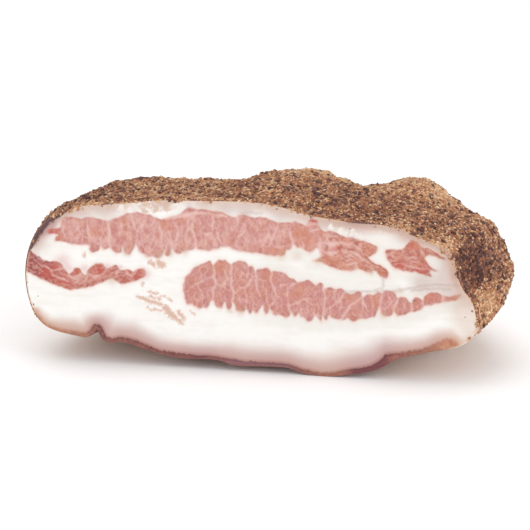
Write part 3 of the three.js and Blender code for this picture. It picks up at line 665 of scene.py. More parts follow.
# The cut's edge from its left end over the top to its right end and back along the rind
def edge_columns():
    line = rounded(CUT_EDGE, EDGE_STEPS["mesh"])
    line = np.roll(line, -line[:, 0].argmin(), 0)
    right = line[:, 0].argmax()
    top = evenly(line[: right + 1], COLUMNS // 2 + 1)
    rind = evenly(np.concatenate([line[right:], line[:1]]), COLUMNS // 2 + 1)
    return np.concatenate([top, rind[1:]])


# Depths behind the cut from near the tip to the rim, evenly spaced along the skin
def skin_depths():
    y = np.linspace(RIM_ROWS[0][0], DEPTH, DEPTH_STEPS)
    fall = np.diff(shrink(y, ROUNDNESS["side"])) * (CORE_REACH - CORE["x"])
    run = np.concatenate([[0], np.cumsum(np.hypot(np.diff(y), fall))])
    return np.interp(np.linspace(run[-1], 0, SKIN_ROWS + 1), run, y)[1:-1]


# Every point of the jowl's mesh, row by row: the tip, the skin, the rim, and the face to its core line
def jowl_rows():
    edge = edge_columns()
    angle = 2 * math.pi * np.arange(COLUMNS + 1) / COLUMNS
    core = np.stack([-CORE_REACH * np.cos(angle), np.full_like(angle, CORE["z"])], -1)
    inward = core - edge
    length = np.linalg.norm(inward, axis=1, keepdims=True)
    tip = np.array([CORE["x"] + TIP["right"], DEPTH, CORE["z"] - TIP["low"]], float)
    rows = [np.broadcast_to(tip, (COLUMNS + 1, 3))]
    rows += [skin(edge, y) for y in skin_depths()]
    last = RIM_ROWS[-1][1]
    insets = [*RIM_ROWS, *((0, blend(last, length, i / FACE_ROWS)) for i in range(1, FACE_ROWS + 1))]
    for y, inset in insets:
        step = np.zeros((COLUMNS + 1, 3))
        step[:, 0::2] = inward / length * inset
        rows.append(skin(edge, y) + step)
    return np.array(rows)


def deselect():
    if bpy.context.object and bpy.context.object.mode != "OBJECT":
        bpy.ops.object.mode_set(mode="OBJECT")
    bpy.ops.object.select_all(action="DESELECT")


def set_values(mesh, name, values):
    attribute = mesh.attributes.get(name) or mesh.attributes.new(name, "FLOAT", "POINT")
    attribute.data.foreach_set("value", np.ascontiguousarray(values, np.float32))


def read_values(mesh, name):
    values = np.empty(len(mesh.vertices), np.float32)
    mesh.attributes[name].data.foreach_get("value", values)
    return values.astype(float)


def get_points(mesh):
    points = np.empty(len(mesh.vertices) * 3, np.float32)
    mesh.vertices.foreach_get("co", points)
    return points.reshape(-1, 3).astype(float)


# Paints a vertex group with a share for each point, for the modifiers
def paint_group(piece, name, shares):
    group = piece.vertex_groups.new(name=name)
    steps = np.round(np.clip(shares, 0, 1) * GROUP_STEPS).astype(int)
    for step in np.unique(steps[steps > 0]):
        group.add(np.flatnonzero(steps == step).tolist(), step / GROUP_STEPS, "REPLACE")


# Raises or sinks part of a piece along its normals, evenly or in a cloudy pattern of a size
def raise_skin(piece, group, height, cloud):
    change = piece.modifiers.new(group, "DISPLACE")
    change.vertex_group = group
    change.strength = height * MM
    change.mid_level = 0
    if cloud:
        pattern = bpy.data.textures.new(f"{group} {cloud}", "CLOUDS")
        pattern.noise_scale = cloud * MM
        pattern.noise_depth = 2
        change.texture = pattern
        change.texture_coords = "LOCAL"
        change.mid_level = 0.5
    bpy.ops.object.modifier_apply(modifier=change.name)


# The jowl: a grid wrapped round the solid's shape like a sock, and closed along the face's core line
def make_jowl():
    deselect()
    rows = jowl_rows()
    bpy.ops.mesh.primitive_grid_add(x_subdivisions=COLUMNS, y_subdivisions=len(rows) - 1, size=2)
    jowl = bpy.context.object
    jowl.name = jowl.data.name = "cured_jowl"
    mesh = jowl.data
    flat = get_points(mesh)
    column = np.round((flat[:, 0] + 1) / 2 * COLUMNS).astype(int)
    row = np.round((flat[:, 1] + 1) / 2 * (len(rows) - 1)).astype(int)
    mesh.vertices.foreach_set("co", in_frame(rows[row, column]).astype(np.float32).ravel())
    set_values(mesh, "face", row >= FIRST_FACE_ROW)

    bpy.ops.object.mode_set(mode="EDIT")
    bpy.ops.mesh.select_all(action="SELECT")
    bpy.ops.mesh.remove_doubles(threshold=WELD)
    bpy.ops.mesh.normals_make_consistent(inside=False)
    bpy.ops.object.mode_set(mode="OBJECT")
    measure_jowl(mesh)
    roughen(jowl)
    bpy.ops.object.shade_smooth()
    return jowl


# How deep points of the cut face lie in the streaks of lean
def lean_depth(face):
    return np.max([depth_inside(face, rounded(outline, 2)) for outline in LEAN.values()], 0)


# How far points of the cut face are from the side of a seam, with seams that meet webbed together
def distance_to_seams(face):
    nearness = np.zeros(len(face))
    for width, *line in SEAMS:
        line = np.array(line, float)
        opens = lean_depth(line[[0, -1]]) < SEAM["near_fat"]
        first, last = np.where(opens, 1, SEAM["end"])
        lengths = np.linalg.norm(np.diff(line, axis=0), axis=1)
        nearest = np.full(len(face), np.inf)
        for (share, away), length, run in zip(along_line(face, line), lengths, np.cumsum(lengths)):
            turn = (run - length + share * length) / lengths.sum()
            narrowed = np.maximum(blend(first, last, turn), np.sin(math.pi * turn))
            nearest = np.minimum(nearest, away - width * narrowed)
        nearness += np.exp(-nearest / SEAM["web"])
    return -SEAM["web"] * np.log(nearness + NOTHING)


# A small wandering of the cut's patterns, so that no line of them runs straight
def wander(face):
    x, z = face.T
    moves = [sum(reach * np.sin(a * x + b * z + start) for reach, a, b, start in rows) for rows in WANDER]
    return face + np.stack(moves, -1)


# Place across the fibres, in depth below the line that they run along, with their run drawn out
def fibre_places(face):
    x, z = face.T
    left, right = (np.interp(x, *np.array(FIBRE_RUNS[side], float).T) for side in ("left", "right"))
    return np.stack([x * FIBRE_STRETCH, 0 * x, z - np.where(x > 0, right, left)], -1) * MM


# What each point of the face shows, such as lean, seams and stains, and what each point behind it does
def measure_jowl(mesh):
    points = on_jowl(get_points(mesh))
    on_face = read_values(mesh, "face") > 0.5
    straight = points[on_face][:, [0, 2]]
    face = wander(straight)
    x, z = face.T
    line = rounded(CUT_EDGE, EDGE_STEPS["face"])
    is_rind = (line[:, 1] < RIND_END["z"]) & (line[:, 0] < RIND_END["x"])
    first = np.flatnonzero(is_rind & ~np.roll(is_rind, 1))[0]
    line = np.roll(line, -first, 0)
    rind, crust = line[: is_rind.sum()], line[is_rind.sum() - 1 :]
    lean = lean_depth(face)
    at, thickness, tan, blush_reach = np.array(RIND).T
    right, left = (
        smooth(*FIBROUS[f"{side} x"], x) * smooth(*FIBROUS[f"{side} z"], z) for side in ("right", "left")
    )
    white = np.minimum(1, spots(face, WHITE_TO_EDGE))
    found = {
        "lean": lean,
        "haze": smooth(*HAZE["depth"], lean) * blend(HAZE["left"], 1, smooth(*HAZE["x"], x)),
        "fibrous": right + left,
        "seam": distance_to_seams(face),
        "fleck": np.min([distance_to_line(face, line) - width for width, *line in FLECKS], 0),
        "sinew": np.min([distance_to_line(face, line) for line in SINEWS], 0),
        "to_rind": distance_to_line(straight, rind),
        "to_crust": distance_to_line(straight, crust),
        "rind_width": np.interp(x, at, thickness, 0.05, 0.05),
        "blush_reach": np.interp(x, at, blush_reach),
        "under_crust": np.interp(x, *np.array(UNDER_CRUST).T) * (1 - white),
        "dried": DRIED["width"] + spots(face, DRIED["wide"]),
        "spill": spots(straight, SPILL),
        **{name: np.minimum(1, spots(face, stains)) for name, stains in STAINS.items()},
    }
    for name, values in found.items():
        everywhere = np.full(len(points), FAR if name in ("seam", "fleck", "sinew") else 0.0)
        everywhere[on_face] = values
        set_values(mesh, name, everywhere)
    fibres = np.zeros((len(points), 3))
    fibres[on_face] = fibre_places(face)
    mesh.attributes.new("fibres", "FLOAT_VECTOR", "POINT").data.foreach_set("vector", fibres.ravel())

    fat_corner = spots(points, [FAT_CORNER])
    is_crust = smooth(*PEPPER_FROM, points[:, 2]) * smooth(0.5, 0.15, fat_corner) * ~on_face
    set_values(mesh, "fat_corner", smooth(0.2, 0.7, fat_corner))
    set_values(mesh, "peppered", is_crust)
    set_values(mesh, "bare", smooth(0.3, 0.75, np.minimum(1, spots(points, BARE_SKIN))))
    set_values(mesh, "tone", crust_tone(points) - PALER_ON_FACE * on_face)
    set_values(mesh, "rind_tan", np.interp(points[:, 0], at, tan))
    set_values(mesh, "depth", smooth(0, RIND_SHOWS, points[:, 1]))


# Low relief: crags of the crust, creases of the rind, the knife's waves and the sunken lean
def roughen(jowl):
    mesh = jowl.data
    points = on_jowl(get_points(mesh))
    peppered, bare, face, to_crust, to_rind, lean = (
        read_values(mesh, name) for name in ("peppered", "bare", "face", "to_crust", "to_rind", "lean")
    )
    behind = smooth(0, 2.5, points[:, 1])
    spiced = peppered * (1 - bare)
    inside = smooth(0.3, 2, to_crust) * smooth(0.3, 2, to_rind)
    meat = face * smooth(-0.3, 0.8, lean)
    groups = {
        "crust crags": behind * spiced,
        "rind creases": behind * (1 - spiced) * (1 - face) * smooth(0, 4, points[:, 2]),
        "knife waves": face * inside,
        "sunken lean": meat * smooth(0, 1.2, to_crust),
        "meat bundles": meat * inside,
    }
    for name, shares in groups.items():
        paint_group(jowl, name, shares)
    for group, height, cloud in RELIEF:
        raise_skin(jowl, group, height, cloud)
    jowl.vertex_groups.clear()


# The repeatable run of numbers between 0 and 1 that the solid's coarse pepper is placed by
def draws(seed):
    state = seed
    while True:
        state = (state * DRAW["times"] + DRAW["plus"]) % DRAW["range"]
        yield state / DRAW["range"]


# Place, way out, size and spin of each coarse bit of pepper of the solid
def coarse_pepper():
    run = draws(GRAIN["seed"])
    edge = rounded(CUT_EDGE, EDGE_STEPS["pepper"])

    def vary(reach):
        return reach * (2 * next(run) - 1)

    def at(turn, y):
        spot = turn % 1 * len(edge)
        i = int(spot)
        return skin(blend(edge[i], edge[(i + 1) % len(edge)], spot - i), y)

    grains = []
    y = PEPPER["first_row"]
    while y < DEPTH - PEPPER["tip_gap"]:
        row = skin(edge, y)
        length = np.linalg.norm(row - np.roll(row, -1, 0), axis=1).sum()
        count = max(3, round(length / GRAIN["spacing"]))
        for i in range(count):
            turn = (i + PEPPER["stray"] * next(run)) / count
            deep = min(DEPTH - PEPPER["tip_gap"] / 2, y + GRAIN["spacing"] / 2 * next(run))
            point = at(turn, deep)
            if point[2] <= PEPPER["lowest"]:
                continue
            along = at(turn + PEPPER["turn"], deep) - at(turn - PEPPER["turn"], deep)
            inward = at(turn, deep + PEPPER["step"]) - at(turn, deep - PEPPER["step"])
            out = np.cross(along, inward)
            radius = GRAIN["radius"] * (1 + vary(GRAIN["spread"]))
            for _ in range(GRAIN["draws"]):
                next(run)
            spin = 2 * math.pi * next(run)
            lean = np.array([vary(GRAIN["lean"]) for _ in range(3)])
            grains.append((point, out / np.linalg.norm(out) - lean, radius, spin))
        y += GRAIN["spacing"] * blend(PEPPER["closer"], 1, shrink(y, ROUNDNESS["side"]))
    return grains


# Shapes of broken peppercorn, one unit across: balls of triangles, flattened and knocked out of round
def shards(flatness, subdivisions):
    shapes = []
    for i in range(SHARD["kinds"]):
        deselect()
        bpy.ops.mesh.primitive_ico_sphere_add(subdivisions=subdivisions, radius=0.5)
        shard = bpy.context.object
        mesh = shard.data
        bpy.ops.object.mode_set(mode="EDIT")
        bpy.ops.mesh.select_all(action="SELECT")
        bpy.ops.transform.vertex_random(offset=SHARD["knock"], uniform=1, normal=0, seed=i + 1)
        bpy.ops.transform.resize(value=(1 + SHARD["longer"] * i, 1 - SHARD["narrower"] * i, flatness))
        bpy.ops.object.mode_set(mode="OBJECT")
        shapes.append((get_points(mesh), np.array([face.vertices[:] for face in mesh.polygons])))
        bpy.data.objects.remove(shard)
        bpy.data.meshes.remove(mesh)
    return shapes


# One mesh of many grains: each a shard, turned about its way out and set at its place
def heap(name, shapes, places, outs, sizes, spins, tints):
    outs = outs / np.linalg.norm(outs, axis=1, keepdims=True)
    side = np.cross(outs, np.where(np.abs(outs[:, :1]) > 0.8, [[0.0, 1.0, 0.0]], [[1.0, 0.0, 0.0]]))
    side /= np.linalg.norm(side, axis=1, keepdims=True)
    turned = np.cos(spins)[:, None] * side + np.sin(spins)[:, None] * np.cross(outs, side)
    axes = np.stack([turned, np.cross(outs, turned), outs], 1)
    points, faces, shades, start = [], [], [], 0
    for kind, (corners, sides) in enumerate(shapes):
        some = np.arange(kind, len(places), len(shapes))
        moved = np.einsum("vk,nkx->nvx", corners, axes[some] * sizes[some, None, None])
        moved += places[some, None, :]
        first = start + np.arange(len(some))[:, None, None] * len(corners)
        points.append(moved.reshape(-1, 3))
        faces.append((first + sides[None]).reshape(-1, 3))
        shades.append(np.repeat(tints[some], len(corners)))
        start += len(some) * len(corners)
    mesh = bpy.data.meshes.new(name)
    mesh.from_pydata(np.concatenate(points), [], np.concatenate(faces))
    set_values(mesh, "shade", np.concatenate(shades))
    piece = bpy.data.objects.new(name, mesh)
    bpy.context.collection.objects.link(piece)
    return piece


# Triangles of the jowl's skin: corners, way out, area and corner numbers of each, in the jowl's millimetres
def skin_triangles(mesh):
    mesh.calc_loop_triangles()
    corner = np.empty(len(mesh.loop_triangles) * 3, np.int32)
    mesh.loop_triangles.foreach_get("vertices", corner)
    corner = corner.reshape(-1, 3)
    points = on_jowl(get_points(mesh))[corner]
    cross = np.cross(points[:, 1] - points[:, 0], points[:, 2] - points[:, 0])
    area = np.linalg.norm(cross, axis=1)
    return points, cross / np.maximum(area, 1e-12)[:, None], area / 2, corner


# How dark the crust is at points of the outside, from -1 to 1
def crust_tone(points):
    drift = np.sin(points @ DRIFT["first"]) * np.sin(points @ DRIFT["second"] + 1)
    return np.clip(spots(points, CRUST_TONES) + DRIFT["share"] * drift, -1, 1)


# A cloudy value at each place, with its clouds so many millimetres apart
def cloudiness(places, size, start=0):
    return np.array([noise.noise(Vector(place / size + start)) for place in places])


# Grains of each kind of ground pepper, as thick as they lie on the crust and spill onto the cut
def scatter_pepper(jowl):
    chance = np.random.default_rng(SCATTER_SEED)
    corners, outs, areas, corner = skin_triangles(jowl.data)
    middles = corners.mean(1)
    peppered, bare, face, to_crust, spill, tone = (
        read_values(jowl.data, name)[corner].mean(1)
        for name in ("peppered", "bare", "face", "to_crust", "spill", "tone")
    )
    reach = RIM["reach"] + RIM["ragged"] * cloudiness(middles, RIM["clump"]) + RIM["spill"] * spill
    spilt = blend(*RIM["thick"], spill) * smooth(reach, 0.2 * reach, to_crust) * (reach > 0.1)
    thinned = smooth(0.25, 0.75, bare + cloudiness(middles, CLUMP)) * (bare > 0) * (spill < 0.5)
    cover = np.where(face > 0.5, spilt, peppered) * (1 - thinned)
    pieces = []
    for turn, (name, dark, light, count, small, large, darker, clumping) in enumerate(GROUND_PEPPER):
        clumps = cloudiness(middles, CLUMP, 9 * turn)
        weight = areas * cover * np.maximum(0.05, 1 + darker * tone) * np.exp(clumping * clumps)
        chosen = chance.choice(len(areas), count, p=weight / weight.sum())
        share = np.sort(chance.random((count, 2)), 1)
        mix = np.stack([share[:, 0], share[:, 1] - share[:, 0], 1 - share[:, 1]], 1)
        places = np.einsum("nk,nkx->nx", mix, corners[chosen])
        size = blend(small, large, chance.random(count) ** GROUND["mostly_small"])
        places += outs[chosen] * (size * chance.uniform(*GROUND["sunk"], count))[:, None]
        behind = face[chosen] < 0.5
        places[behind, 1] = np.maximum(places[behind, 1], size[behind] / 2)
        tilted = outs[chosen] + chance.normal(0, GROUND["tilt"], (count, 3))
        spins = chance.uniform(0, 2 * math.pi, count)
        tints = chance.random(count) - GROUND["darker"] * tone[chosen]
        piece = heap(name, shards(1, 1), in_frame(places), tilted, size * MM, spins, tints)
        piece.data.materials.append(pepper_material(name.replace("_", " "), dark, light))
        pieces.append(piece)
    return pieces


# The solid's own coarse bits, and the specks that the knife dragged onto the cut
def crack_peppercorns():
    chance = np.random.default_rng(SCATTER_SEED)
    places, outs, radii, spins = (np.array(values) for values in zip(*coarse_pepper()))
    tints = 0.7 * chance.random(len(places)) - 0.5 * crust_tone(places)
    hidden = smooth(0.2, 0.5, spots(places, [*BARE_SKIN, FAT_CORNER]))
    sizes = 2 * radii * COARSE["size"]
    places -= (sizes / 2 - COARSE["shows"] + COARSE["hides"] * hidden)[:, None] * outs
    specks = np.array([[x, 0.1, z] for x, z in FACE_SPECKS])
    count = len(specks)
    grains = (
        in_frame(np.concatenate([places, specks])),
        np.concatenate([outs, np.tile([0.0, -1.0, 0.0], (count, 1))]),
        np.concatenate([sizes, chance.uniform(0.5, 0.9, count)]) * MM,
        np.concatenate([spins, chance.uniform(0, 6, count)]),
        np.concatenate([tints, chance.random(count)]),
    )
    piece = heap("cracked_peppercorn", shards(GRAIN["height"], 2), *grains)
    piece.data.materials.append(peppercorn_material())
    return piece


# Linear colour of an sRGB hex value; the colour that a node gives stays as it is
def colour(code):
    if not isinstance(code, str):
        return code
    values = [int(code[i : i + 2], 16) / 255 for i in (1, 3, 5)]
    return (*[v / 12.92 if v <= 0.04045 else ((v + 0.055) / 1.055) ** 2.4 for v in values], 1)


# Sets or links inputs of a node
def feed(made, inputs):
    for name, value in inputs.items():
        if isinstance(value, bpy.types.NodeSocket):
            made.id_data.links.new(value, made.inputs[name])
        else:
            made.inputs[name].default_value = value


# Adds a node and gives one of its outputs. A second word in its kind is its main setting, and its inputs come
# in order or by their names, which start with a capital.
def node(tree, kind, *values, sockets=range(9), out=0, **named):
    kind, _, choice = kind.partition(" ")
    made = tree.nodes.new("ShaderNode" + kind)
    if choice:
        setattr(made, MAIN_SETTING[kind], choice)
    inputs = dict(zip(sockets, values))
    for name, value in named.items():
        if name.islower():
            setattr(made, name, value)
        else:
            inputs[name] = value
    feed(made, inputs)
    return made.outputs[out]


# A new material, its shader, what adds a node to it, and the place that its patterns read
def new_material(name):
    material = bpy.data.materials.new(name)
    material.use_nodes = True
    tree = material.node_tree
    shader = next(item for item in tree.nodes if item.type == "BSDF_PRINCIPLED")
    return material, shader, partial(node, tree), node(tree, "TexCoord", out="Object")


# Lays coats of colour over a first one, each where its mask is
def coats(add, first, *layers):
    for mask, paint in layers:
        first = add("Mix RGBA", mask, colour(first), colour(paint), sockets=MIX["sockets"], out=MIX["out"])
    return first


# Cured jowl on the cut: waxy white fat, rosy lean in bundles parted by white tissue, and the skin's edge.
# The fat is smooth and a little shiny, and the lean is drier, sunken and grainy.
def cut_face_material():
    material, shader, add, place = new_material("cured fat and lean")
    names = [*STAINS, *FACE_VALUES]
    at = SimpleNamespace(**{name: add("Attribute " + name, out="Fac") for name in names})
    swirl = add("TexNoise", Vector=place, Scale=1 / (4 * MM), Detail=3, out="Color")
    warped = add("VectorMath MULTIPLY_ADD", swirl, (2.4 * MM,) * 3, place)
    tall = add("VectorMath MULTIPLY", warped, (1, 1, 0.72))
    bundle = {"Vector": tall, "Scale": 1 / (2.4 * MM)}
    bundle_edge = add("TexVoronoi DISTANCE_TO_EDGE", **bundle)
    lobe = add("TexVoronoi F1", **bundle)
    bundle_shade = add("SeparateColor", add("TexVoronoi F1", **bundle, out="Color"))
    ragged = add("TexNoise", Vector=place, Scale=1 / (1.1 * MM), Detail=2)
    mixed_shade = add("Math MULTIPLY_ADD", ragged, 1.3, -0.45)
    bundle_shade = add("Math MULTIPLY_ADD", bundle_shade, 0.6, mixed_shade, use_clamp=True)
    fine = add("TexNoise", Vector=tall, Scale=1 / (0.7 * MM), Detail=2)
    cloud = add("TexNoise", Vector=place, Scale=1 / (7 * MM), Detail=3)
    blotch = add("TexNoise", Vector=warped, Scale=1 / (1.8 * MM), Detail=3)
    run = add("Attribute fibres", out="Vector")
    fibre = add("TexNoise", Vector=run, Scale=1 / (1.9 * MM), Detail=3, Distortion=1.6)

    # The lean swells out in lobes and is cut in between them and at the seams
    swell = add("Math MULTIPLY_ADD", lobe, -0.5, at.lean)
    meat = add("MapRange SMOOTHSTEP", swell, -0.62, 0.22)
    faint = add("Math MULTIPLY_ADD", ragged, 0.25, bundle_edge)
    membrane = add("MapRange SMOOTHSTEP", faint, 0.06, 0.38, 0.5, 0)
    veined = add("MapRange", cloud, 0.4, 0.6, 0.15)
    membrane = add("Math MULTIPLY", membrane, veined)
    warm = add("TexNoise", Vector=warped, Scale=1 / (4.5 * MM), Detail=2)
    warm = add("MapRange", warm, 0.45, 0.66, 0, 0.75)
    seam = add("Math MULTIPLY_ADD", ragged, 0.9, at.seam)
    seam = add("MapRange SMOOTHSTEP", seam, -0.3, 0.95, 0.85, 0)
    deep = add("MapRange", fine, 0.35, 0.6, 0.45, 0)
    grain = add("MapRange", fine, 0.5, 0.75, 0, 0.42)
    bundles = coats(
        add, "#bb7871", (bundle_shade, "#c99089"), (warm, "#c5846c"), (deep, "#b16f6a"), (grain, "#d9aba0"),
        (membrane, "#debab4"),
    )
    string_shade = add("Math MULTIPLY_ADD", ragged, 0.8, fibre)
    string_shade = add("MapRange", string_shade, 0.76, 1.04)
    strings = coats(add, "#b0685c", (string_shade, "#d0a092"))
    faded = add("TexNoise", Vector=tall, Scale=1 / (2.6 * MM), Detail=1)
    faded = add("MapRange", faded, 0.42, 0.64, 0, 0.48)
    faded = add("Math MULTIPLY", faded, at.faded)
    stringy = add("MapRange", string_shade, 0, 1, 1, 0.4)
    lean = coats(
        add, bundles, (at.fibrous, strings), (faded, "#dcb3ab"),
        (add("Math MULTIPLY", at.rosy, 0.28), "#b0584f"),
        (add("Math MULTIPLY", at.dark_end, stringy), "#8f3d40"),
        (add("Math MULTIPLY", at.red, stringy), "#bb5546"),
        (add("Math MULTIPLY", at.ochre, 0.5), "#c57c5c"),
        (seam, "#ddb9b1"),
    )

    # The fat is whitest in the middle, and greyer and pinker under the crust and over the rind
    mottle = add("TexNoise", Vector=place, Scale=1 / (1.8 * MM), Detail=3)
    mottle = add("MapRange", mottle, 0.3, 0.6, 0.75)
    near_crust = add("MapRange SMOOTHSTEP", at.to_crust, 1, 6, 1, 0)
    near_crust = add("Math MULTIPLY", near_crust, at.under_crust)
    near_crust = add("Math MULTIPLY", near_crust, mottle, use_clamp=True)
    by_crust = add("MapRange", at.to_crust, 0, 3.4, 1, 0)
    by_crust = add("Math MULTIPLY", by_crust, add("MapRange", at.under_crust, 1, 1.6))
    # At the notch the rind band's extra width and purple brown are painted shade in the notch's fold
    over_rind = add("Math SUBTRACT", at.to_rind, at.rind_width)
    near_rind = add("MapRange SMOOTHSTEP", over_rind, 1, at.blush_reach, 1, 0)
    by_rind = add("MapRange SMOOTHSTEP", over_rind, -0.2, 1.7, 1, 0)
    cloudy = add("MapRange", cloud, 0.4, 0.75, 0, 0.5)
    flat = add("VectorMath MULTIPLY", warped, (0.16, 1, 1))
    layer = add("TexNoise", Vector=flat, Scale=1 / (2.2 * MM), Detail=2)
    layer = add("MapRange", layer, 0.48, 0.75, 0, 0.34)
    fat = coats(
        add, "#efedea", (cloudy, "#ebe5e0"), (layer, "#dfd7d0"),
        (add("Math MULTIPLY", at.haze, 0.45), "#dad5cd"),
        (add("MapRange SMOOTHSTEP", at.lean, -2.2, 0, 0, 0.24), "#d6c4ba"),
        (add("MapRange SMOOTHSTEP", at.lean, -0.9, 0, 0, 0.42), "#dcb4a9"),
        (add("Math MULTIPLY", at.blush, 0.75), "#c8b5ae"),
        (near_crust, "#cbb0a4"), (by_crust, "#a27a70"),
        (near_rind, coats(add, "#be9b97", (at.rind_tan, "#cbaa98"))),
        (by_rind, coats(add, "#a2736c", (at.rind_tan, "#c49680"))),
    )
    fleck, sinew = (
        add("MapRange SMOOTHSTEP", add("Math MULTIPLY_ADD", ragged, fray, line), low, high, strength, 0)
        for line, fray, low, high, strength in (
            (at.fleck, 2.4, 0.5, 2, 0.85), (at.sinew, 1.1, 0.4, 1.6, 0.42),
        )
    )
    beige, white = (
        add("MapRange SMOOTHSTEP", add("Math MULTIPLY_ADD", blotch, 2.4, stain), 1.8, 2.4, 0, strength)
        for stain, strength in ((at.beige, 0.75), (at.white, 0.9))
    )

    # The rind and the dried skin end in a ragged line
    upright = add("VectorMath MULTIPLY", place, (1, 1, 0.4))
    tick = add("TexNoise", Vector=upright, Scale=1 / (1.4 * MM), Detail=1)
    tick = add("MapRange", tick, 0.5, 0.8, 0.3, -0.5)
    rind_side = add("Math ADD", over_rind, tick)
    uneven = add("Math MULTIPLY", mottle, at.rind_tan)
    for source, share in ((ragged, 0.6), (uneven, 1.4), (at.rind_tan, -1.1)):
        rind_side = add("Math MULTIPLY_ADD", source, share, rind_side)
    softness = add("Math MULTIPLY_ADD", at.rind_tan, 1.5, 0.8)
    rind = add("MapRange SMOOTHSTEP", rind_side, 0.2, softness, 1, 0)
    inner = add("MapRange SMOOTHSTEP", rind_side, -0.45, 0.25, 0, 0.75)
    purple = add("Math MULTIPLY_ADD", at.rind_tan, -1.6, 1, use_clamp=True)
    mottled = add("Math MULTIPLY_ADD", ragged, 0.9, -0.85)
    mottled = add("Math MULTIPLY_ADD", cloud, 0.8, mottled)
    tanned = add("Math ADD", at.rind_tan, mottled, use_clamp=True)
    burnt = add("MapRange", blotch, 0.42, 0.6, 0, 0.8)
    rind_colour = coats(
        add, "#733c41", (tanned, "#c48d70"),
        (add("Math MULTIPLY", burnt, at.rind_tan), "#a8694f"),
        (add("Math MULTIPLY", at.mauve, 0.75), "#8d626a"),
        (add("MapRange", at.to_rind, 0, 0.6, 0.45, 0), "#6b4444"),
        (add("Math MULTIPLY", inner, purple), "#5f3035"),
    )
    dried = add("Math DIVIDE", at.to_crust, at.dried)
    dried = add("Math MULTIPLY_ADD", ragged, 0.9, dried)
    dried = add("MapRange SMOOTHSTEP", dried, 1.05, 1.6, 1, 0)
    rim = add("Math MULTIPLY_ADD", ragged, 1.6, at.to_crust)
    paint = coats(
        add, fat,
        (add("Math MULTIPLY", at.bruised, 0.75), "#b08887"),
        (white, "#e8e0da"), (sinew, "#b1958f"), (fleck, "#cfa48f"), (meat, lean), (beige, "#caaa97"),
        (add("Math MULTIPLY", at.greyed, 0.45), "#cbb09b"),
        (add("Math MULTIPLY", at.pink, 0.6), "#d6b0ab"),
        (rind, rind_colour),
        (add("MapRange", rim, 1, 2, 0.8, 0), "#d9b695"),
        (dried, coats(add, "#3e2629", (ragged, "#6e4a4d"))),
    )
    relief = add("MapRange SMOOTHSTEP", bundle_edge, 0, 0.25)
    relief = add("Math MULTIPLY_ADD", fine, 0.5, relief)
    relief = add("Math MULTIPLY", relief, meat)
    relief = add("Math MULTIPLY_ADD", ragged, 0.12, relief)
    feed(shader, {
        "Base Color": paint,
        "Roughness": add("MapRange", meat, 0, 1, 0.42, 0.52),
        "Normal": add("Bump", Height=relief, Distance=0.12 * MM, Strength=0.6),
        "Subsurface Weight": 0.2,
        "Subsurface Radius": (1, 0.45, 0.3),
        "Subsurface Scale": 1.2 * MM,
        "IOR": 1.44,
    })
    return material


# Dried skin under the pepper and bare rind below: a rough brown paste of fat and spice, with flecks as fine
# as dust, and a leathery tan rind with creases and pores
def outside_material():
    material, shader, add, place = new_material("spiced crust and rind")
    peppered, bare, tone, tan, depth, fat_corner = (
        add("Attribute " + name, out="Fac")
        for name in ("peppered", "bare", "tone", "rind_tan", "depth", "fat_corner")
    )
    patch = add("TexNoise", Vector=place, Scale=1 / (2.4 * MM), Detail=3)
    broad = add("TexNoise", Vector=place, Scale=1 / (18 * MM), Detail=2)
    dust = add("TexVoronoi", Vector=place, Scale=1 / (0.8 * MM), out="Color")
    dust = add("SeparateColor", dust, out="Green")
    dust = add("Math MULTIPLY_ADD", tone, -0.25, dust)
    crust = coats(
        add, "#774635", (patch, "#ad7853"),
        (add("MapRange", tone, 0.1, 0.9, 0, 0.8), "#5f403c"),
        (add("MapRange", tone, -0.1, -0.9, 0, 0.8), "#c3a07c"),
        (add("Math LESS_THAN", dust, 0.18), "#553731"),
        (add("Math GREATER_THAN", dust, 0.8), "#cfa37d"),
        (add("Math MULTIPLY", bare, 0.9), coats(add, "#352023", (patch, "#6c4748"))),
    )
    crease = add("TexNoise", Vector=place, Scale=1 / (3 * MM), Detail=4, Distortion=1.2)
    pore = add("TexVoronoi", Vector=place, Scale=1 / (2.6 * MM))
    rind = coats(
        add, "#7d504f", (tan, "#b58265"),
        (depth, coats(add, "#9a6b50", (broad, "#c69a70"))),
        (add("MapRange", crease, 0.3, 0.6, 0.35, 0), "#7a4e3e"),
        (add("MapRange", pore, 0.06, 0.2, 0.6, 0), "#684436"),
        (fat_corner, "#d9c6b4"),
    )
    edge = add("Math MULTIPLY_ADD", patch, 0.5, peppered)
    edge = add("MapRange SMOOTHSTEP", edge, 0.5, 0.8)
    relief = add("Math MULTIPLY", patch, edge)
    relief = add("Math MULTIPLY_ADD", crease, 0.6, relief)
    feed(shader, {
        "Base Color": coats(add, rind, (edge, crust)),
        "Roughness": add("MapRange", edge, 0, 1, 0.5, 0.85),
        "Normal": add("Bump", Height=relief, Distance=0.6 * MM, Strength=0.7),
        "IOR": 1.45,
    })
    return material


# Ground pepper: dull, each grain its own shade, mottled where husk and core meet
def pepper_material(name, dark, light):
    material, shader, add, place = new_material(name)
    mottle = add("TexNoise", Vector=place, Scale=1 / (0.5 * MM), Detail=1)
    share = add("Math MULTIPLY_ADD", mottle, 0.8, -0.4)
    share = add("Math ADD", add("Attribute shade", out="Fac"), share, use_clamp=True)
    feed(shader, {
        "Base Color": coats(add, dark, (share, light)),
        "Roughness": 0.72,
        "Normal": add("Bump", Height=mottle, Distance=0.12 * MM, Strength=0.5),
        "IOR": 1.46,
    })
    return material


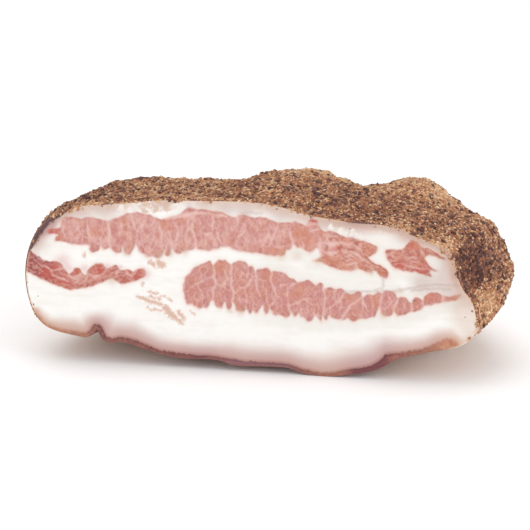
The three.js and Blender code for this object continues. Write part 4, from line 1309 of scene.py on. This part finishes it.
# Coarse peppercorn: broken husk and core, with finer pepper stuck all over it
def peppercorn_material():
    material, shader, add, place = new_material("cracked peppercorn")
    bit = add("TexVoronoi", Vector=place, Scale=1 / (0.8 * MM), out="Color")
    bit = add("SeparateColor", bit)
    bit = add("Math MULTIPLY_ADD", add("Attribute shade", out="Fac"), 0.5, bit)
    mottle = add("TexNoise", Vector=place, Scale=1 / (0.5 * MM), Detail=1)
    paint = coats(
        add, "#3c2a2f", (mottle, "#68474a"),
        (add("Math GREATER_THAN", bit, 0.7), "#8a6450"),
        (add("Math GREATER_THAN", bit, 1.05), "#bd9873"),
    )
    feed(shader, {
        "Base Color": paint,
        "Roughness": 0.75,
        "Normal": add("Bump", Height=mottle, Distance=0.3 * MM, Strength=0.6),
    })
    return material


# The face wears the first material and everything behind it the second
def dress(jowl):
    mesh = jowl.data
    mesh.materials.append(cut_face_material())
    mesh.materials.append(outside_material())
    face = read_values(mesh, "face")
    outside = [int(min(face[list(polygon.vertices)]) < 0.5) for polygon in mesh.polygons]
    mesh.polygons.foreach_set("material_index", outside)


# White studio: a wide pale floor, an even sky, a broad soft light from above and lamps in front
def set_stage():
    deselect()
    bpy.ops.mesh.primitive_plane_add(size=STAGE["floor"], location=(0, 0, 0))
    floor = bpy.context.object
    floor.name = floor.data.name = "studio_floor"
    material, shader, *_ = new_material("white paper")
    feed(shader, {"Base Color": colour("#fcfcfc"), "Roughness": 0.9})
    floor.data.materials.append(material)
    sky = bpy.data.worlds.new("even sky")
    sky.use_nodes = True
    light = next(item for item in sky.node_tree.nodes if item.type == "BACKGROUND")
    feed(light, {"Color": colour("#ffffff"), "Strength": STAGE["sky"]})
    bpy.context.scene.world = sky
    aim = Vector(in_frame(STAGE["aim"]))
    for name, kind, place, power, settings in LAMPS:
        lamp = bpy.data.lights.new(name, kind)
        lamp.energy = power
        for setting, value in settings.items():
            setattr(lamp, setting, value)
        holder = bpy.data.objects.new(name, lamp)
        holder.location = place
        holder.rotation_euler = (aim - Vector(place)).to_track_quat("-Z", "Y").to_euler()
        bpy.context.collection.objects.link(holder)
    bpy.context.scene.view_settings.view_transform = "Standard"


def set_camera():
    turn, lift = math.radians(VIEW["azimuth"]), math.radians(VIEW["elevation"])
    back = Vector((math.sin(turn) * math.cos(lift), -math.cos(turn) * math.cos(lift), math.sin(lift)))
    camera = bpy.data.objects.new("camera", bpy.data.cameras.new("camera"))
    camera.data.lens = VIEW["lens"]
    camera.data.sensor_width = VIEW["sensor"]
    camera.data.clip_start = NEAR
    camera.location = Vector(in_frame(VIEW["at"])) + back * VIEW["distance"] * MM
    camera.rotation_euler = (-back).to_track_quat("-Z", "Y").to_euler()
    bpy.context.collection.objects.link(camera)
    bpy.context.scene.camera = camera


set_camera()
jowl = make_jowl()
dress(jowl)
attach(jowl, "root")
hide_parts(JOWL)
for grains in [crack_peppercorns(), *scatter_pepper(jowl)]:
    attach(grains, "root")
set_stage()
